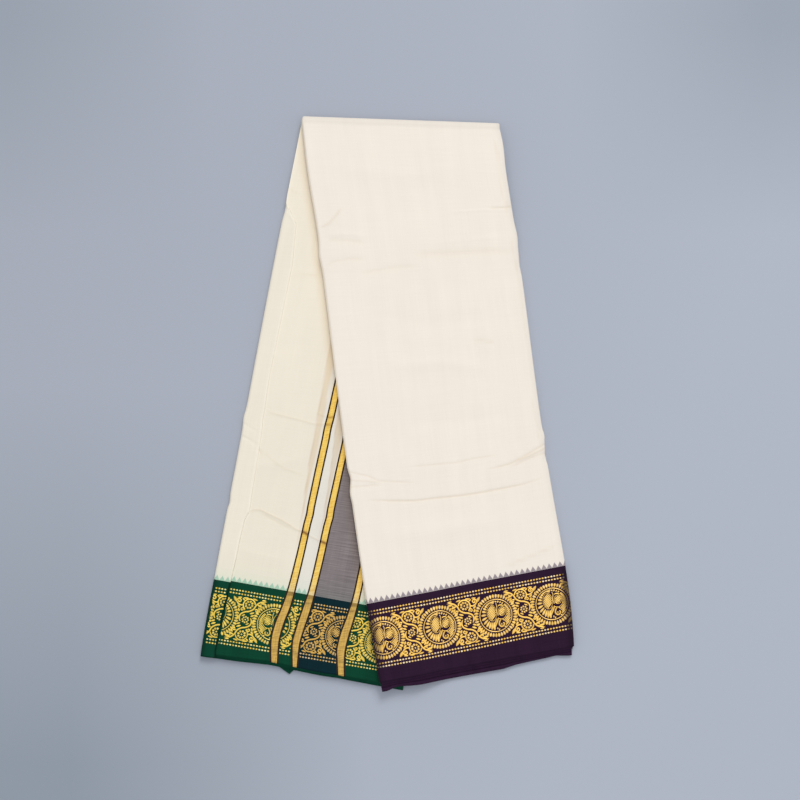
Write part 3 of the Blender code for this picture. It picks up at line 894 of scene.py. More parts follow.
def buildLeftStrip():
    borderAt = cloth["border"] + strip["lower"] / cloth["packLength"]
    downs = rowsDown(backPack, hems["strip"], back["closeRows"])[1:]
    downs = np.sort(np.append(downs, borderAt))
    turns = np.linspace(0.0, math.pi / 2.0, 6)
    inset = strip["run"] * (1.0 - np.cos(turns))
    rows, uvs = [], []
    for down in downs:
        top = float(stripTop(down))
        edge = max(float(stepIn(down)), strip["run"] + 1.2)
        room = strip["gap"] + 0.22 * float(smooth(down, 0.70, 0.78))
        flat = np.append(np.linspace(strip["run"], edge - room - 0.1, 8)[1:], (edge - room, edge + 0.8))
        across = np.concatenate([inset, flat])
        z = np.concatenate([strip["foot"] + (top - strip["foot"]) * np.sin(turns),
                            np.where(flat < edge - room - 0.05, top, top - strip["tuck"])])
        rows.append(backPoint(across, bowed(backPack, across, down), z))
        uvs.append(weaveRow(across, fromBorder(backPack, down) - strip["lower"]))
    grid, uv = np.stack(rows), np.stack(uvs)
    cells = cellsBelow(downs, borderAt, grid.shape[1])
    below, toEdge = uv[..., 1], stepIn(downs)[:, None] - uv[..., 0]
    bleed = np.where(below < 0, np.exp(np.minimum(below, 0.0) / back["bleedRun"]) * 0.5, 0.0)
    # painted light by the inner edge, where the back cloth's edge shades the strip
    paintedLight = 1.0 + 0.14 * fade(toEdge, 0.3, 1.5)
    shadow = 0.6 * fade(toEdge, 0.0, 3.2) + 0.35 * fade(uv[..., 0], 2.0, 7.0)
    onCream = paintedLight[..., None] * np.array(back["stripGround"])
    tint = np.where(below[..., None] < 0, onCream, 1.0 - shadow[..., None])
    tint = darken(tint, bleed, back["bleed"])
    piece = makeShell("leftStrip", grid, cloth["shell"], [creamBack, greenCotton], cells, uv, tint)
    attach(piece, "root")
    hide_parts("left_strip", "left_strip_border")
    return piece


bundles = {
    "count": 6,
    "depth": 0.5,
    "wander": 0.9,
    "wanderLengths": (23.0, 47.0, 95.0),
    "stationStep": 9.0,
    "stationRun": 590.0,
    "turns": (-80.0, -30.0, 30.0, 80.0),       # corners of one folded edge
    "topFrom": 3.0,                            # the topmost layers draw in above this height
    "stepDepth": 2.6,                          # layers this far down are cut back under the strip
    "stepInset": 3.6,
    "folds": (30, 60, 90, 120, 150),           # degrees round the top fold
    "borderClear": 0.0006,
}


# the layers under the face cloths: many folded edges, one above the other, each wandering a little
def buildHiddenLayers():
    count = bundles["count"]
    height = cloth["layers"] / count
    wanders = dice.random((count, 2, 3)) * 6.283

    def sideRing(position, side, top, step):
        ring = []
        for number in range(count):
            middle = height * (number + 0.5)
            wander = sum(math.sin(position / length + wanders[number, side, key])
                         for key, length in enumerate(bundles["wanderLengths"])) / 3.0
            base = max(0.0, wander) * bundles["wander"]
            if top and (side == 0 or middle > bundles["topFrom"]):
                base += 1.5 + 2.2 * (max(middle - bundles["topFrom"], 0.0) / 1.6) ** 2
            if step and middle < cloth["layers"] - bundles["stepDepth"]:
                base = bundles["stepInset"]
            for angle in np.radians(bundles["turns"]):
                ring.append((base + bundles["depth"] * (1.0 - math.cos(angle)),
                             middle + height / 2.0 * math.sin(angle)))
        return ring

    def ringPoints(place, width, position, top, step):
        right = sideRing(position, 1, True, False)
        left = sideRing(position, 0, top, step)
        flat = np.linspace(30.0, width - 14.0, 12)
        return ([place(across, 0.0) for across in flat] + [place(width - inset, z) for inset, z in right]
                + [place(across, cloth["layers"]) for across in flat[::-1]]
                + [place(inset, z) for inset, z in reversed(left)])

    def packRing(pack, down):
        isFront = pack is frontPack

        def place(across, z):
            x, y = packPlan(pack, across, down)
            return (float(x), float(y), float(drape(x, y)) + z if isFront else cloth["layers"] - z)
        position = down * bundles["stationRun"] * (1.0 if isFront else -1.0)
        return ringPoints(place, float(packWidth(pack, down)), position, isFront, not isFront)

    def foldPlace(turn):
        return lambda across, z: tuple(foldPoint(np.array([across]), turn, z)[0])

    stations = int(cloth["border"] * bundles["stationRun"] / bundles["stationStep"])
    downs = (cloth["border"] - bundles["borderClear"]) * np.arange(stations + 1) / stations
    rings = [packRing(frontPack, down) for down in downs[::-1]]
    for degrees in bundles["folds"]:
        rings.append(ringPoints(foldPlace(math.radians(degrees)), float(packWidth(frontPack, 0.0)), 0.0,
                                degrees < 121, degrees > 121))
    rings += [packRing(backPack, down) for down in downs]
    size = len(rings[0])
    index = np.arange(len(rings) * size).reshape(len(rings), size)
    after = np.roll(index, -1, axis=1)
    faces = np.stack([after[:-1], index[:-1], index[1:], after[1:]], axis=-1).reshape(-1, 4).tolist()
    faces += [index[0].tolist(), index[-1][::-1].tolist()]
    points = np.array(rings).reshape(-1, 3)
    points[:, 2] = np.maximum(points[:, 2], 0.0)
    piece = makeMesh("hiddenLayers", points, faces, [creamPlain], np.ones((len(points), 3)), points[:, :2])
    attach(piece, "root")
    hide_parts("hidden_layers")
    return piece


# hem layers fanned out under the border: name, CAD node, pack, insets left and right, hem, foot,
# thickness, colour, part of the hem's bow
hemLayers = [
    ("frontHemHigh", "front_hem_high", frontPack, 3.0, 1.6, 0.9865, 3.2, 1.4, "purple", 0.0),
    ("frontHemMid", "front_hem_mid", frontPack, 1.6, 2.8, 0.9915, 1.6, 1.3, "purple", 0.25),
    ("frontHemLow", "front_hem_low", frontPack, 1.2, 2.4, 1.0, 0.0, 1.3, "purple", 1.0),
    ("backHemHigh", "back_hem_high", backPack, 5.0, 0.0, 0.996, 2.9, 1.5, "green", 1.0),
    ("backHemMid", "back_hem_mid", backPack, 1.7, 0.0, 0.998, 1.6, 1.0, "green", 1.0),
    ("backHemLow", "back_hem_low", backPack, 0.6, 0.0, 1.0, 0.0, 1.3, "green", 1.0),
]
hemRim = {
    "insets": (0.0, 0.15, 0.6),
    "heights": (0.5, 0.8, 1.0),        # as shares of the thickness
    "flatFrom": 2.0,
    "wave": 0.18,
    "lift": 1.3,                       # the lowest layer's hem stands up a little
    # the purple hem layers are lightened: painted light where the face cloth shades them
    "tints": {"purple": 1.28, "green": 1.0},
}


# each hem layer is two folded edges thick, with a soft rounded rim
def buildHemLayer(name, node, pack, insetLeft, insetRight, hem, foot, thickness, colour, bowPart):
    insets, heights = np.array(hemRim["insets"]), np.array(hemRim["heights"])
    rows, uvs = [], []
    for down in np.linspace(cloth["border"] + bundles["borderClear"], hem, 26):
        end = float(packWidth(pack, down)) - insetRight
        flat = np.linspace(insetLeft + hemRim["flatFrom"], end - hemRim["flatFrom"], 60)
        across = np.concatenate([insetLeft + insets, flat, end - insets[::-1]])
        share = np.concatenate([heights, np.ones_like(flat), heights[::-1]])
        wave = hemRim["wave"] * np.sin(across / 17.0 + foot * 3.0) * smooth(down, hem - 0.03, hem)
        x, y = packPlan(pack, across, bowed(pack, across, down, bowPart))
        base = drape(x, y) if pack is frontPack else 0.0
        lift = hemRim["lift"] * float(smooth(down, 0.9925, 1.0)) if foot == 0.0 else 0.0
        z = base + foot + thickness * share + np.maximum(wave, -0.05) + lift
        rows.append(np.stack([x, y, z], axis=-1))
        uvs.append(weaveRow(across, fromBorder(pack, down)))
    grid, uv = np.stack(rows), np.stack(uvs)
    material = {"purple": purpleCotton, "green": greenCotton}[colour]
    # painted light on the purple hem layers
    tint = np.full(grid.shape, hemRim["tints"][colour])
    piece = makeShell(name, grid, thickness * 0.8, [material], None, uv, tint)
    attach(piece, "root")
    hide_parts(node)
    return piece


# corners of the tip in the plan: left top, left end, right end, right top
tip = np.array([(-131.4, -283.8), (-108.6, -299.7), (-102.4, -294.0), (-100.0, -286.8)])
tipTop = (1.2, 1.05)


# the dark corner of an under layer past the back pack's hem
def buildHemTip():
    down = np.linspace(0.0, 1.0, 14)[:, None, None]
    right = np.linspace(0.0, 1.0, 13)[:, None]
    leftSide = tip[0] + (tip[1] - tip[0]) * down
    rightSide = tip[3] + (tip[2] - tip[3]) * down
    plan = leftSide + (rightSide - leftSide) * right
    top = np.broadcast_to(tipTop[0] + (tipTop[1] - tipTop[0]) * down, plan.shape[:2] + (1,))
    grid = np.concatenate([plan, top], axis=-1)
    tint = darken(np.ones(grid.shape), 0.35 * right[:, 0])
    piece = makeShell("backHemTip", grid, 0.8, [greenCotton], None, grid[..., :2].copy(), tint)
    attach(piece, "root")
    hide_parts("back_hem_tip")
    return piece


# gold thread: pieces are drawn flat in mm, then laid on the cloth

def newThreads():
    return {"points": [], "faces": [], "tints": []}


# pale thread is silvery: more green and blue in it
paleGain = np.array((0.06, 0.42, 3.8))


def threadTint(pale=0.0):
    return random.uniform(0.82, 1.12) * (1.0 + paleGain * pale)


# painted shade on a thread's rim, where it dips into the cloth, and a painted highlight on its raised crown
rimShade, crownHighlight = 0.84, 1.3
# heights of a bead's rim, a stroke's rim and the foot of both
beadRim, strokeRim, threadFoot = 0.06, 0.05, -0.12


# a bead of thread: an oval with a raised middle
def addBead(threads, x, y, long, wide, turn, height=0.28, pale=0.0, sides=8, egg=0.0):
    start = len(threads["points"])
    tint = threadTint(pale)
    cosTurn, sinTurn = math.cos(turn), math.sin(turn)
    for number in range(sides):
        angle = 2.0 * math.pi * number / sides
        along = math.cos(angle) * long / 2.0
        beside = math.sin(angle) * wide / 2.0 * (1.0 + egg * math.cos(angle))
        pointX = x + along * cosTurn - beside * sinTurn
        pointY = y + along * sinTurn + beside * cosTurn
        threads["points"].append((pointX, pointY, beadRim))
    threads["points"] += [(x, y, height), (x, y, threadFoot)]
    threads["tints"] += [tint * rimShade] * sides + [tint * crownHighlight, tint * rimShade]
    for number in range(sides):
        after = (number + 1) % sides
        threads["faces"].append((start + number, start + after, start + sides))
        threads["faces"].append((start + after, start + number, start + sides + 1))


# beads set round a point, each turned outwards
def addBeadRing(threads, x, y, reach, count, size, height, pales, egg, start=0.0):
    for number in range(count):
        angle = 2.0 * math.pi * number / count + start
        pale = random.choice(pales) if len(pales) > 1 else pales[0]
        addBead(threads, x + reach * math.cos(angle), y + reach * math.sin(angle), *size, angle, height,
                pale, egg=egg)


# a run of thread along a path, with a raised middle and its own width at each point
def addStroke(threads, path, widths, height=0.26, pale=0.0):
    path = np.asarray(path, float)
    widths = np.full(len(path), widths, float) if np.isscalar(widths) else np.asarray(widths, float)
    run = np.gradient(path, axis=0)
    run /= np.maximum(np.linalg.norm(run, axis=1, keepdims=True), 1e-9)
    side = np.stack([-run[:, 1], run[:, 0]], axis=-1) * widths[:, None] / 2.0
    start = len(threads["points"])
    tint = threadTint(pale)
    for centre, beside in zip(path, side):
        left, right = centre + beside, centre - beside
        threads["points"] += [(*left, strokeRim), (*centre, height), (*right, strokeRim),
                              (*centre, threadFoot)]
    threads["tints"] += [tint * rimShade, tint * crownHighlight, tint * rimShade, tint * rimShade] * len(path)
    for step in range(len(path) - 1):
        here = start + 4 * step
        for corner in range(4):
            after = (corner + 1) % 4
            threads["faces"].append((here + after, here + corner, here + 4 + corner, here + 4 + after))
    threads["faces"].append((start, start + 1, start + 2, start + 3))
    last = start + 4 * (len(path) - 1)
    threads["faces"].append((last + 3, last + 2, last + 1, last))


# a smooth path through given points
def smoothPath(points, steps=6):
    points = np.asarray(points, float)
    padded = np.concatenate([2 * points[:1] - points[1:2], points, 2 * points[-1:] - points[-2:-1]])
    path = []
    for number in range(1, len(padded) - 2):
        p0, p1, p2, p3 = padded[number - 1:number + 3]
        for step in range(steps):
            t = step / steps
            path.append(0.5 * (2 * p1 + (p2 - p0) * t + (2 * p0 - 5 * p1 + 4 * p2 - p3) * t ** 2
                               + (3 * p1 - p0 - 3 * p2 + p3) * t ** 3))
    path.append(points[-1])
    return np.array(path)


def arcPath(x, y, radius, start, end, steps=24, squeeze=1.0):
    turns = np.radians(np.linspace(start, end, steps))
    return np.stack([x + radius * np.cos(turns), y + radius * squeeze * np.sin(turns)], axis=-1)


def spiralPath(x, y, radius, start, turns, steps=26):
    angle = np.radians(start) + np.linspace(0.0, turns * 2.0 * math.pi, steps)
    reach = radius * np.linspace(1.0, 0.12, steps)
    return np.stack([x + reach * np.cos(angle), y + reach * np.sin(angle)], axis=-1)


# a run of thread that thins towards its ends, to these shares of its width
def addTapered(threads, path, width, height, ends=(0.3, 0.3)):
    share = np.linspace(0.0, 1.0, len(path))
    swell = np.minimum(ends[0] + share * 5.0, ends[1] + (1.0 - share) * 5.0)
    addStroke(threads, path, width * np.minimum(1.0, swell), height)


# a patch filled with slanting thread: inside() says which points belong to it
def addHatch(threads, inside, extent, pitch=1.6, slant=45.0, width=1.5, shade=0.1):
    turn = math.radians(slant)
    run, off = np.array((math.cos(turn), math.sin(turn))), np.array((-math.sin(turn), math.cos(turn)))
    centreX, centreY, reach = extent
    for step in np.arange(-reach, reach, pitch):
        ticks = np.arange(-reach, reach, 0.5)
        points = np.array((centreX, centreY)) + off * step + run * ticks[:, None]
        mask = inside(points[:, 0], points[:, 1])
        begin = None
        for number, isIn in enumerate(list(mask) + [False]):
            if isIn and begin is None:
                begin = number
            elif not isIn and begin is not None:
                if number - begin >= 2:
                    run3 = points[[begin, (begin + number - 1) // 2, number - 1]]
                    addStroke(threads, run3, [width * 0.7, width, width * 0.7], 0.14, shade)
                begin = None


medallion = {
    "radius": 23.9,
    "beadInner": 19.3,
    "beads": 44,
    "beadWide": 2.6,
    "ring": 17.9,
    "ringWidth": 0.95,
    "inside": 16.6,
    "pitch": 63.4,
}


def ellipseMask(x, y, across, up, turn=0.0):
    cosTurn, sinTurn = math.cos(math.radians(turn)), math.sin(math.radians(turn))

    def inside(px, py):
        along = (px - x) * cosTurn + (py - y) * sinTurn
        beside = (py - y) * cosTurn - (px - x) * sinTurn
        return (along / across) ** 2 + (beside / up) ** 2 < 1.0
    return inside


# a leaf between two points, widest in its middle
def addLeaf(threads, startX, startY, endX, endY, wide, height=0.3):
    share = np.array((0.0, 0.2, 0.45, 0.75, 1.0))
    path = np.stack([startX + (endX - startX) * share, startY + (endY - startY) * share], axis=-1)
    addStroke(threads, path, wide * np.array((0.25, 0.8, 1.0, 0.75, 0.1)), height)


# the bird's parts: x, y, half width, half height
bird = {
    "back": (-4.2, 3.6, 4.5, 8.2),
    "head": (7.2, 3.2, 3.6, 4.4),
    "feathers": 15,
    "firstFeather": 62.0,
    "featherTurn": 15.6,
    "fanCentre": (-2.6, 2.2),
    "longFeathers": 7,          # these end in a bead where they have the room
    "wingClear": 1.9,
    "crest": [(-0.8, 16.0, 0), (1.8, 15.2, -30), (4.4, 14.6, 60), (6.8, 13.4, 50), (9.0, 12.0, 45)],
    "beak": [(3.9, 9.4), (5.4, 10.4), (8.0, 9.9), (9.6, 8.4)],
    "necks": [([(2.4, -3.0), (0.6, -7.0), (-2.0, -11.0), (-4.6, -15.2)], 1.6, 0.3),
              ([(0.4, -3.4), (-1.6, -7.4), (-4.0, -11.0), (-7.0, -14.2)], 1.1, 0.28)],
    "hook": [(5.0, -5.6), (3.0, -7.6), (2.2, -10.6), (3.8, -13.2), (6.6, -13.0), (7.8, -10.8), (6.4, -9.4)],
    "feet": [(-0.2, -14.6, 95), (1.4, -16.0, 60), (10.2, -11.6, 40), (8.6, -14.2, 15), (4.9, -10.8, 90)],
}


def addFeathers(threads):
    backX, backY, backWide, backTall = bird["back"]
    for number in range(bird["feathers"]):
        angle = math.radians(bird["firstFeather"] + bird["featherTurn"] * number)
        inner = np.array((backX + (backWide + 1.3) * math.cos(angle),
                          backY + (backTall + 2.0) * math.sin(angle)))
        away = inner - np.array(bird["fanCentre"])
        away /= np.hypot(*away)
        along = inner @ away
        reach = -along + math.sqrt(along ** 2 - inner @ inner + medallion["inside"] ** 2)
        turn = math.atan2(away[1], away[0])
        if reach > 6.2 and number < bird["longFeathers"]:
            addBead(threads, *(inner + away * 1.4), 2.6, 1.7, turn, 0.28)
            inner, reach = inner + away * 3.1, reach - 3.1
        addBead(threads, *(inner + away * reach / 2.0), max(reach - 0.3, 1.8), 2.5, turn, 0.32, 0.1, egg=0.3)


# a peacock in a beaded ring, drawn in its own way from plain ovals, fans and curls
def drawMedallion():
    threads = newThreads()
    outer, inner = medallion["radius"], medallion["beadInner"]
    addBeadRing(threads, 0.0, 0.0, (outer + inner) / 2.0, medallion["beads"],
                (outer - inner, medallion["beadWide"]), 0.36, (0.0, 0.1, 0.3), 0.35)
    addStroke(threads, arcPath(0.0, 0.0, medallion["ring"], 0.0, 360.0, 72), medallion["ringWidth"], 0.3, 0.1)
    # back of the bird, with its fan of feathers on the left
    x, y, wide, tall = bird["back"]
    addHatch(threads, ellipseMask(x, y, wide, tall, -6.0), (x, y, 9.5))
    addStroke(threads, arcPath(x, y, wide + 0.7, 0.0, 360.0, 40, 1.75), 0.55, 0.26)
    addFeathers(threads)
    for number in range(9):                    # strand of beads down the neck
        place = (2.0 + 0.5 * math.sin(number * 0.9), 12.6 - 1.6 * number)
        addBead(threads, *place, 1.5, 1.3, 1.2, 0.3, 0.3)
    for x, y, turn in bird["crest"]:
        addBead(threads, x, y, 2.6, 1.8, math.radians(turn), 0.3, 0.1, egg=0.2)
    # head and the wing that sweeps round it on the right
    x, y, wide, tall = bird["head"]
    addHatch(threads, ellipseMask(x, y, wide, tall, -25.0), (x, y, 5.5), slant=-45.0)
    addStroke(threads, arcPath(x, y, 4.1, 0.0, 360.0, 32, 1.2), 0.5, 0.26)
    addTapered(threads, smoothPath(bird["beak"]), 1.2, 0.28)
    hook = smoothPath(bird["hook"])

    def wing(px, py):
        fromHook = np.hypot(px[:, None] - hook[:, 0], py[:, None] - hook[:, 1]).min(axis=1)
        angle = np.degrees(np.arctan2(py, px))
        offHead = ((px - 6.0) / 7.0) ** 2 + ((py - 2.2) / 8.2) ** 2 > 1.0
        turned = (angle > -70.0) & (angle < 46.0)
        return (np.hypot(px, py) < medallion["inside"]) & offHead & turned & (fromHook > bird["wingClear"])
    addHatch(threads, wing, (9.0, -2.0, 18.0), slant=40.0)
    addStroke(threads, arcPath(6.0, 2.2, 6.5, 40.0, -125.0, 34, 1.17), 0.6, 0.28)
    # neck band, and the curl under the bird
    for points, width, height in bird["necks"]:
        addTapered(threads, smoothPath(points), width, height)
    addTapered(threads, hook, 1.7, 0.32)
    for x, y, turn in bird["feet"]:
        addBead(threads, x, y, 2.3, 1.4, math.radians(turn), 0.28, 0.1)
    return threads


# half of the vine between two medallions: leaves go from a point to a point, with a width
vine = {
    "rose": 17.2,
    "roseReach": 3.6,
    "flowerReach": 3.1,
    "lean": 0.075,
    "stem": [(-18.4, 23.4), (-14.0, 22.8), (-10.4, 21.0), (-7.6, 17.6), (-6.0, 13.2), (-2.0, 10.0),
             (2.8, 8.4), (6.6, 5.4), (7.2, 1.2), (5.2, -2.6)],
    "shoot": [(6.4, 16.4), (8.8, 15.6), (12.0, 16.6), (14.2, 18.8)],
    "leaves": [
        (14.0, 18.6, 19.0, 24.2, 3.2), (-18.4, 20.4, -11.6, 21.4, 2.6), (-14.6, 16.8, -8.8, 18.6, 2.4),
        (9.2, 12.4, 12.6, 15.4, 2.5), (8.8, 8.2, 11.0, 12.0, 2.3), (8.8, 3.4, 9.4, -1.8, 2.2),
        (-3.2, 7.2, -8.0, 9.4, 2.2), (-4.6, 4.4, -8.8, 6.4, 2.1), (2.2, 24.4, 8.4, 23.8, 1.9),
        (-2.6, 24.6, -8.2, 23.4, 1.9), (5.8, 21.2, 9.0, 23.4, 1.7), (9.6, 24.2, 14.6, 23.6, 1.6),
        (-10.6, 16.0, -13.0, 12.4, 2.0), (-12.6, 24.6, -17.4, 24.6, 1.4), (1.6, 5.6, 5.2, 3.4, 1.6),
    ],
    "berries": [(-11.6, 10.6), (13.8, 12.8), (-8.0, 2.8), (9.4, 6.0), (-12.6, 19.2), (12.4, 9.6),
                (16.0, 16.4)],
}
# its runs of thread: path, width, height, ends as shares of the width
vineRuns = [
    (smoothPath(vine["stem"]), 1.8, 0.34, (0.2, 0.5)),
    (arcPath(0.0, vine["rose"], 6.5, 170.0, -62.0, 30), 1.5, 0.32, (0.8, 0.5)),
    (smoothPath(vine["shoot"]), 1.6, 0.32, (0.3, 0.3)),
    (spiralPath(11.8, 20.2, 3.0, -40.0, 1.3), 1.5, 0.32, (0.9, 0.6)),
    (spiralPath(6.2, 11.0, 2.3, 200.0, -1.2), 1.4, 0.3, (0.8, 0.6)),
    (spiralPath(-9.6, 11.6, 2.0, 20.0, 1.1), 1.3, 0.3, (0.8, 0.6)),
]


# flip is -1 for the other half, which is the same turned round
def drawVineHalf(threads, flip):
    roseY = vine["rose"] * flip
    addBead(threads, 0.0, roseY, 2.0, 2.0, 0.0, 0.34, 0.3)
    addBeadRing(threads, 0.0, roseY, vine["roseReach"], 8, (2.8, 2.6), 0.32, (0.0, 0.25), 0.25, 0.2)
    for path, width, height, ends in vineRuns:
        addTapered(threads, path * flip, width, height, ends)
    for *ends, wide in vine["leaves"]:
        addLeaf(threads, *(end * flip for end in ends), wide)
    for x, y in vine["berries"]:
        addBead(threads, x * flip, y * flip, 1.9, 1.6, 0.4, 0.28, 0.1)


def drawVine():
    threads = newThreads()
    drawVineHalf(threads, 1.0)
    drawVineHalf(threads, -1.0)
    addBead(threads, 0.0, 0.0, 1.8, 1.8, 0.0, 0.32, 0.3)
    addBeadRing(threads, 0.0, 0.0, vine["flowerReach"], 8, (2.3, 2.0), 0.3, (0.2,), 0.2)
    threads["points"] = [(x - vine["lean"] * y, y, z) for x, y, z in threads["points"]]
    return threads


borderRows = {"dots": (9.0, 12.6, 67.4, 71.1), "dotPitch": 3.27, "dotLong": 2.5, "dotWide": 1.9,
              "motif": 40.2}


def drawDots(length):
    threads = newThreads()
    for row in borderRows["dots"]:
        for number in range(int(length / borderRows["dotPitch"])):
            addBead(threads, (number + 0.5) * borderRows["dotPitch"], -row, borderRows["dotLong"],
                    borderRows["dotWide"], 0.0, 0.26, random.choice((0.0, 0.3, 0.9)), 6)
    return threads


def addThreads(target, source, moveX, moveY, side=1.0):
    start = len(target["points"])
    target["points"] += [(x * side + moveX, y + moveY, z) for x, y, z in source["points"]]
    order = 1 if side > 0 else -1
    target["faces"] += [tuple(start + corner for corner in face)[::order] for face in source["faces"]]
    target["tints"] += source["tints"]


# lays drawn thread on a cloth: only pieces wholly between the limits stay
def layThreads(name, threads, place, keep, material, dim):
    points = np.array(threads["points"])
    inside = keep(points)
    owner = np.full(len(points), -1)
    faces = [face for face in threads["faces"] if all(inside[corner] for corner in face)]
    used = sorted({corner for face in faces for corner in face})
    owner[used] = np.arange(len(used))
    faces = [tuple(int(owner[corner]) for corner in face) for face in faces]
    placed = place(points[used])
    tint = np.array(threads["tints"])[used] * dim(points[used])[..., None]
    piece = makeMesh(name, placed, faces, [material], tint, smoothShade=False)
    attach(piece, "root")
    return piece


vineDrawing = drawVine()
medallionDrawing = drawMedallion()
print("motifs drawn:", len(medallionDrawing["faces"]), "and", len(vineDrawing["faces"]), "faces")


# side is -1 where the row is seen turned over
def motifRow(centres, lift=0.0, side=1.0):
    threads = newThreads()
    for centre in centres:
        addThreads(threads, medallionDrawing, centre, lift - borderRows["motif"], side)
        addThreads(threads, vineDrawing, centre + medallion["pitch"] / 2.0, lift - borderRows["motif"], side)
    return threads


frontPattern = {
    "first": 16.7,               # middle of a medallion, along the cloth
    "lift": -0.1,
    "length": 226.0,
    "raise": 3.0,                # the lower rows lie higher towards the right side
    "margin": 0.6,
    "leftShade": 0.15,           # what is left of the light at the turned sides
    "rightShade": 0.13,
}


def buildFrontZari():
    lift = frontPattern["lift"]
    centres = [frontPattern["first"] + medallion["pitch"] * number for number in range(-1, 4)]
    threads = motifRow(centres, lift)
    addThreads(threads, drawDots(frontPattern["length"]), 0.0, lift)

    def downAt(points):
        depth = -points[:, 1]
        raised = frontPattern["raise"] * smooth(points[:, 0], 80.0, 225.0) * smooth(depth, 5.0, 45.0)
        return downFromBorder(frontPack, depth - raised)

    def place(points):
        return frontPoint(points[:, 0], downAt(points), points[:, 2])

    def keep(points):
        u, margin = points[:, 0], frontPattern["margin"]
        return (u > margin) & (u < frontTotal(downAt(points)) - margin)

    def dim(points):
        u, total = points[:, 0], frontTotal(downAt(points))
        left, right = frontPattern["leftShade"], frontPattern["rightShade"]
        return ((left + (1.0 - left) * smooth(u - leftArc, -1.0, 11.0))
                * (right + (1.0 - right) * smooth(total - rightArc - u, 2.0, 7.5)))
    return layThreads("frontZari", threads, place, keep, zariThread, dim)


# stretches of the back border: name, line on its left and right, place of a medallion, material, light
backRuns = [
    ("zariGreenLeft", None, 1, 74.5, zariOnGreen, 1.0),
    ("zariGreenGap", 2, 3, 74.5, zariOnGreen, 1.0),
    ("zariTeal", 4, 5, 88.0, zariThread, 0.62),
    ("zariGreenEnd", 6, None, 132.0, zariOnGreen, 1.0),
]
backPattern = {"length": 222.0, "margin": 0.4, "stripCentres": [-17.0, 47.0], "stripLength": 30.0,
               "stripMargin": 0.9}


def buildBackRun(name, leftLine, rightLine, centre, material, light):
    threads = motifRow([centre + medallion["pitch"] * number for number in range(-2, 3)], side=-1.0)
    addThreads(threads, drawDots(backPattern["length"]), 0.0, 0.0)
    margin = backPattern["margin"]

    def downAt(points):
        return downFromBorder(backPack, -points[:, 1])

    def place(points):
        return backPoint(points[:, 0], downAt(points), faceTop + points[:, 2])

    def keep(points):
        down = downAt(points)
        left = panelEdge(leftLine, down) if leftLine else stepIn(down) + margin
        right = panelEdge(rightLine, down) if rightLine else packWidth(backPack, down)
        return (points[:, 0] > left + margin) & (points[:, 0] < right - margin)
    return layThreads(name, threads, place, keep, material, lambda points: np.full(len(points), light))


def buildStripZari():
    threads = motifRow(backPattern["stripCentres"], side=-1.0)
    addThreads(threads, drawDots(backPattern["stripLength"]), 0.0, 0.0)

    def downAt(points):
        return downFromBorder(backPack, strip["lower"] - points[:, 1])

    def place(points):
        down = downAt(points)
        return backPoint(points[:, 0], down, stripTop(down) + points[:, 2])

    def keep(points):
        inner = stepIn(downAt(points)) - backPattern["stripMargin"]
        return (points[:, 0] > strip["run"]) & (points[:, 0] < inner)
    return layThreads("zariStrip", threads, place, keep, zariOnGreen, lambda points: np.ones(len(points)))


frontCloth = buildFrontCloth()
print("front cloth made")
backCloth = buildBackCloth()
leftStrip = buildLeftStrip()
print("back cloth made")
hiddenLayers = buildHiddenLayers()
hemPieces = [buildHemLayer(*layer) for layer in hemLayers]
hemTip = buildHemTip()
print("layers made")
frontZari = buildFrontZari()
backZari = [buildBackRun(*run) for run in backRuns] + [buildStripZari()]
print("gold thread laid")

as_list(backZari[:4])
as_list(backZari[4:])


studio = {
    "pixel": 1.11,               # mm a pixel
    "pixels": 800,
    "centre": (14.1, 4.4),       # mm, the middle of the frame
    "height": 2400.0,
    "sensor": 36.0,
    "floor": (0.424, 0.461, 0.538),
    "floorDark": 0.8,
    "floorSize": 14.0,           # metres from the middle, so that no edge shows from a low view
    "corner": (0.62, 0.66, 0.67),
    "topCorner": 0.62,           # the upper corners are darkened by this part of the lower left one
    "key": 1100.0,
    "keyPlace": (3.4, 11.4, 8.0),
    "keySize": 6.4,
    "keyColour": (1.0, 0.985, 0.97),
    "skyColour": (0.97, 0.98, 1.0, 1.0),
    "sky": 0.755,
}


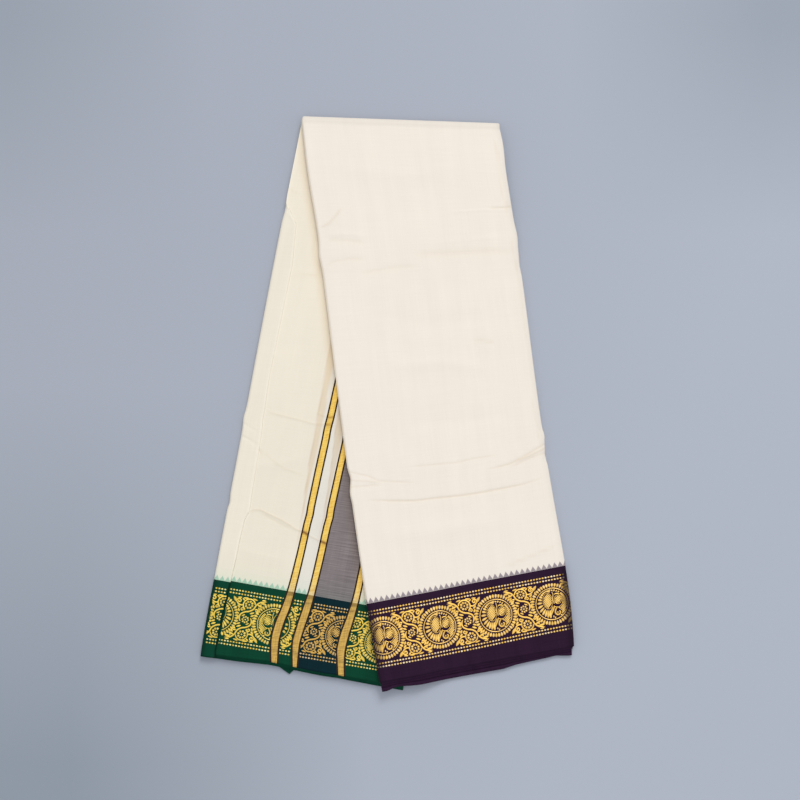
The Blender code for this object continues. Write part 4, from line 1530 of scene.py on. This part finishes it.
def floorMaterial():
    material, tree, shader = nodeTree("paleFloor")
    place = addNode(tree, "TexCoord").outputs["Object"]
    noise = addNode(tree, "TexNoise", {"Scale": 1.6, "Vector": place}).outputs[0]
    x, y = addNode(tree, "SeparateXYZ", {0: place}).outputs[:2]
    # painted shade: a little darker on the left and towards the back
    slope = plus(plus(times(x, -0.8), times(y, 0.3)), 0.27, clamp=True)
    darker = tuple(channel * studio["floorDark"] for channel in studio["floor"])
    base = mixColour(tree, plus(times(noise, 0.10), slope), studio["floor"], darker)

    def rise(value, start, run):
        return over(minus(value, start), run, clamp=True)

    # painted shade: the photo's corners are darker, most of all the lower left one
    lowLeft = times(rise(times(x, -1.0), 0.02, 0.33), rise(times(y, -1.0), -0.02, 0.42))
    atTop = times(rise(mathNode("ABSOLUTE", x), 0.2, 0.22), rise(y, 0.19, 0.23))
    corner = plus(lowLeft, times(atTop, studio["topCorner"]), clamp=True)
    cornerColour = tuple(part * dark for part, dark in zip(studio["floor"], studio["corner"]))
    fill(shader, {"Base Color": mixColour(tree, corner, base, cornerColour), "Roughness": 0.9})
    return material


def buildStudio():
    size = studio["floorSize"]
    mesh = bpy.data.meshes.new("floor")
    mesh.from_pydata([(-size, -size, 0.0), (size, -size, 0.0), (size, size, 0.0), (-size, size, 0.0)], [],
                     [(0, 1, 2, 3)])
    mesh.materials.append(floorMaterial())
    addObject("floor", mesh, (0.0, 0.0, -0.0002))

    light = bpy.data.lights.new("keyLight", "AREA")
    light.shape = "DISK"
    light.size = studio["keySize"]
    light.energy = studio["key"]
    light.color = studio["keyColour"]
    lamp = addObject("keyLight", light, studio["keyPlace"])
    lamp.rotation_euler = (-Vector(studio["keyPlace"])).to_track_quat("-Z", "Y").to_euler()

    scene = bpy.context.scene
    scene.world = bpy.data.worlds.new("softRoom")
    scene.world.use_nodes = True
    background = scene.world.node_tree.nodes["Background"]
    background.inputs[0].default_value = studio["skyColour"]
    background.inputs[1].default_value = studio["sky"]
    scene.view_settings.view_transform = "Standard"

    camera = bpy.data.cameras.new("camera")
    camera.sensor_width = studio["sensor"]
    camera.lens = studio["sensor"] * studio["height"] / (studio["pixel"] * studio["pixels"])
    place = [value * mm for value in (*studio["centre"], studio["height"])]
    scene.camera = addObject("camera", camera, place)


buildStudio()
print("studio made")
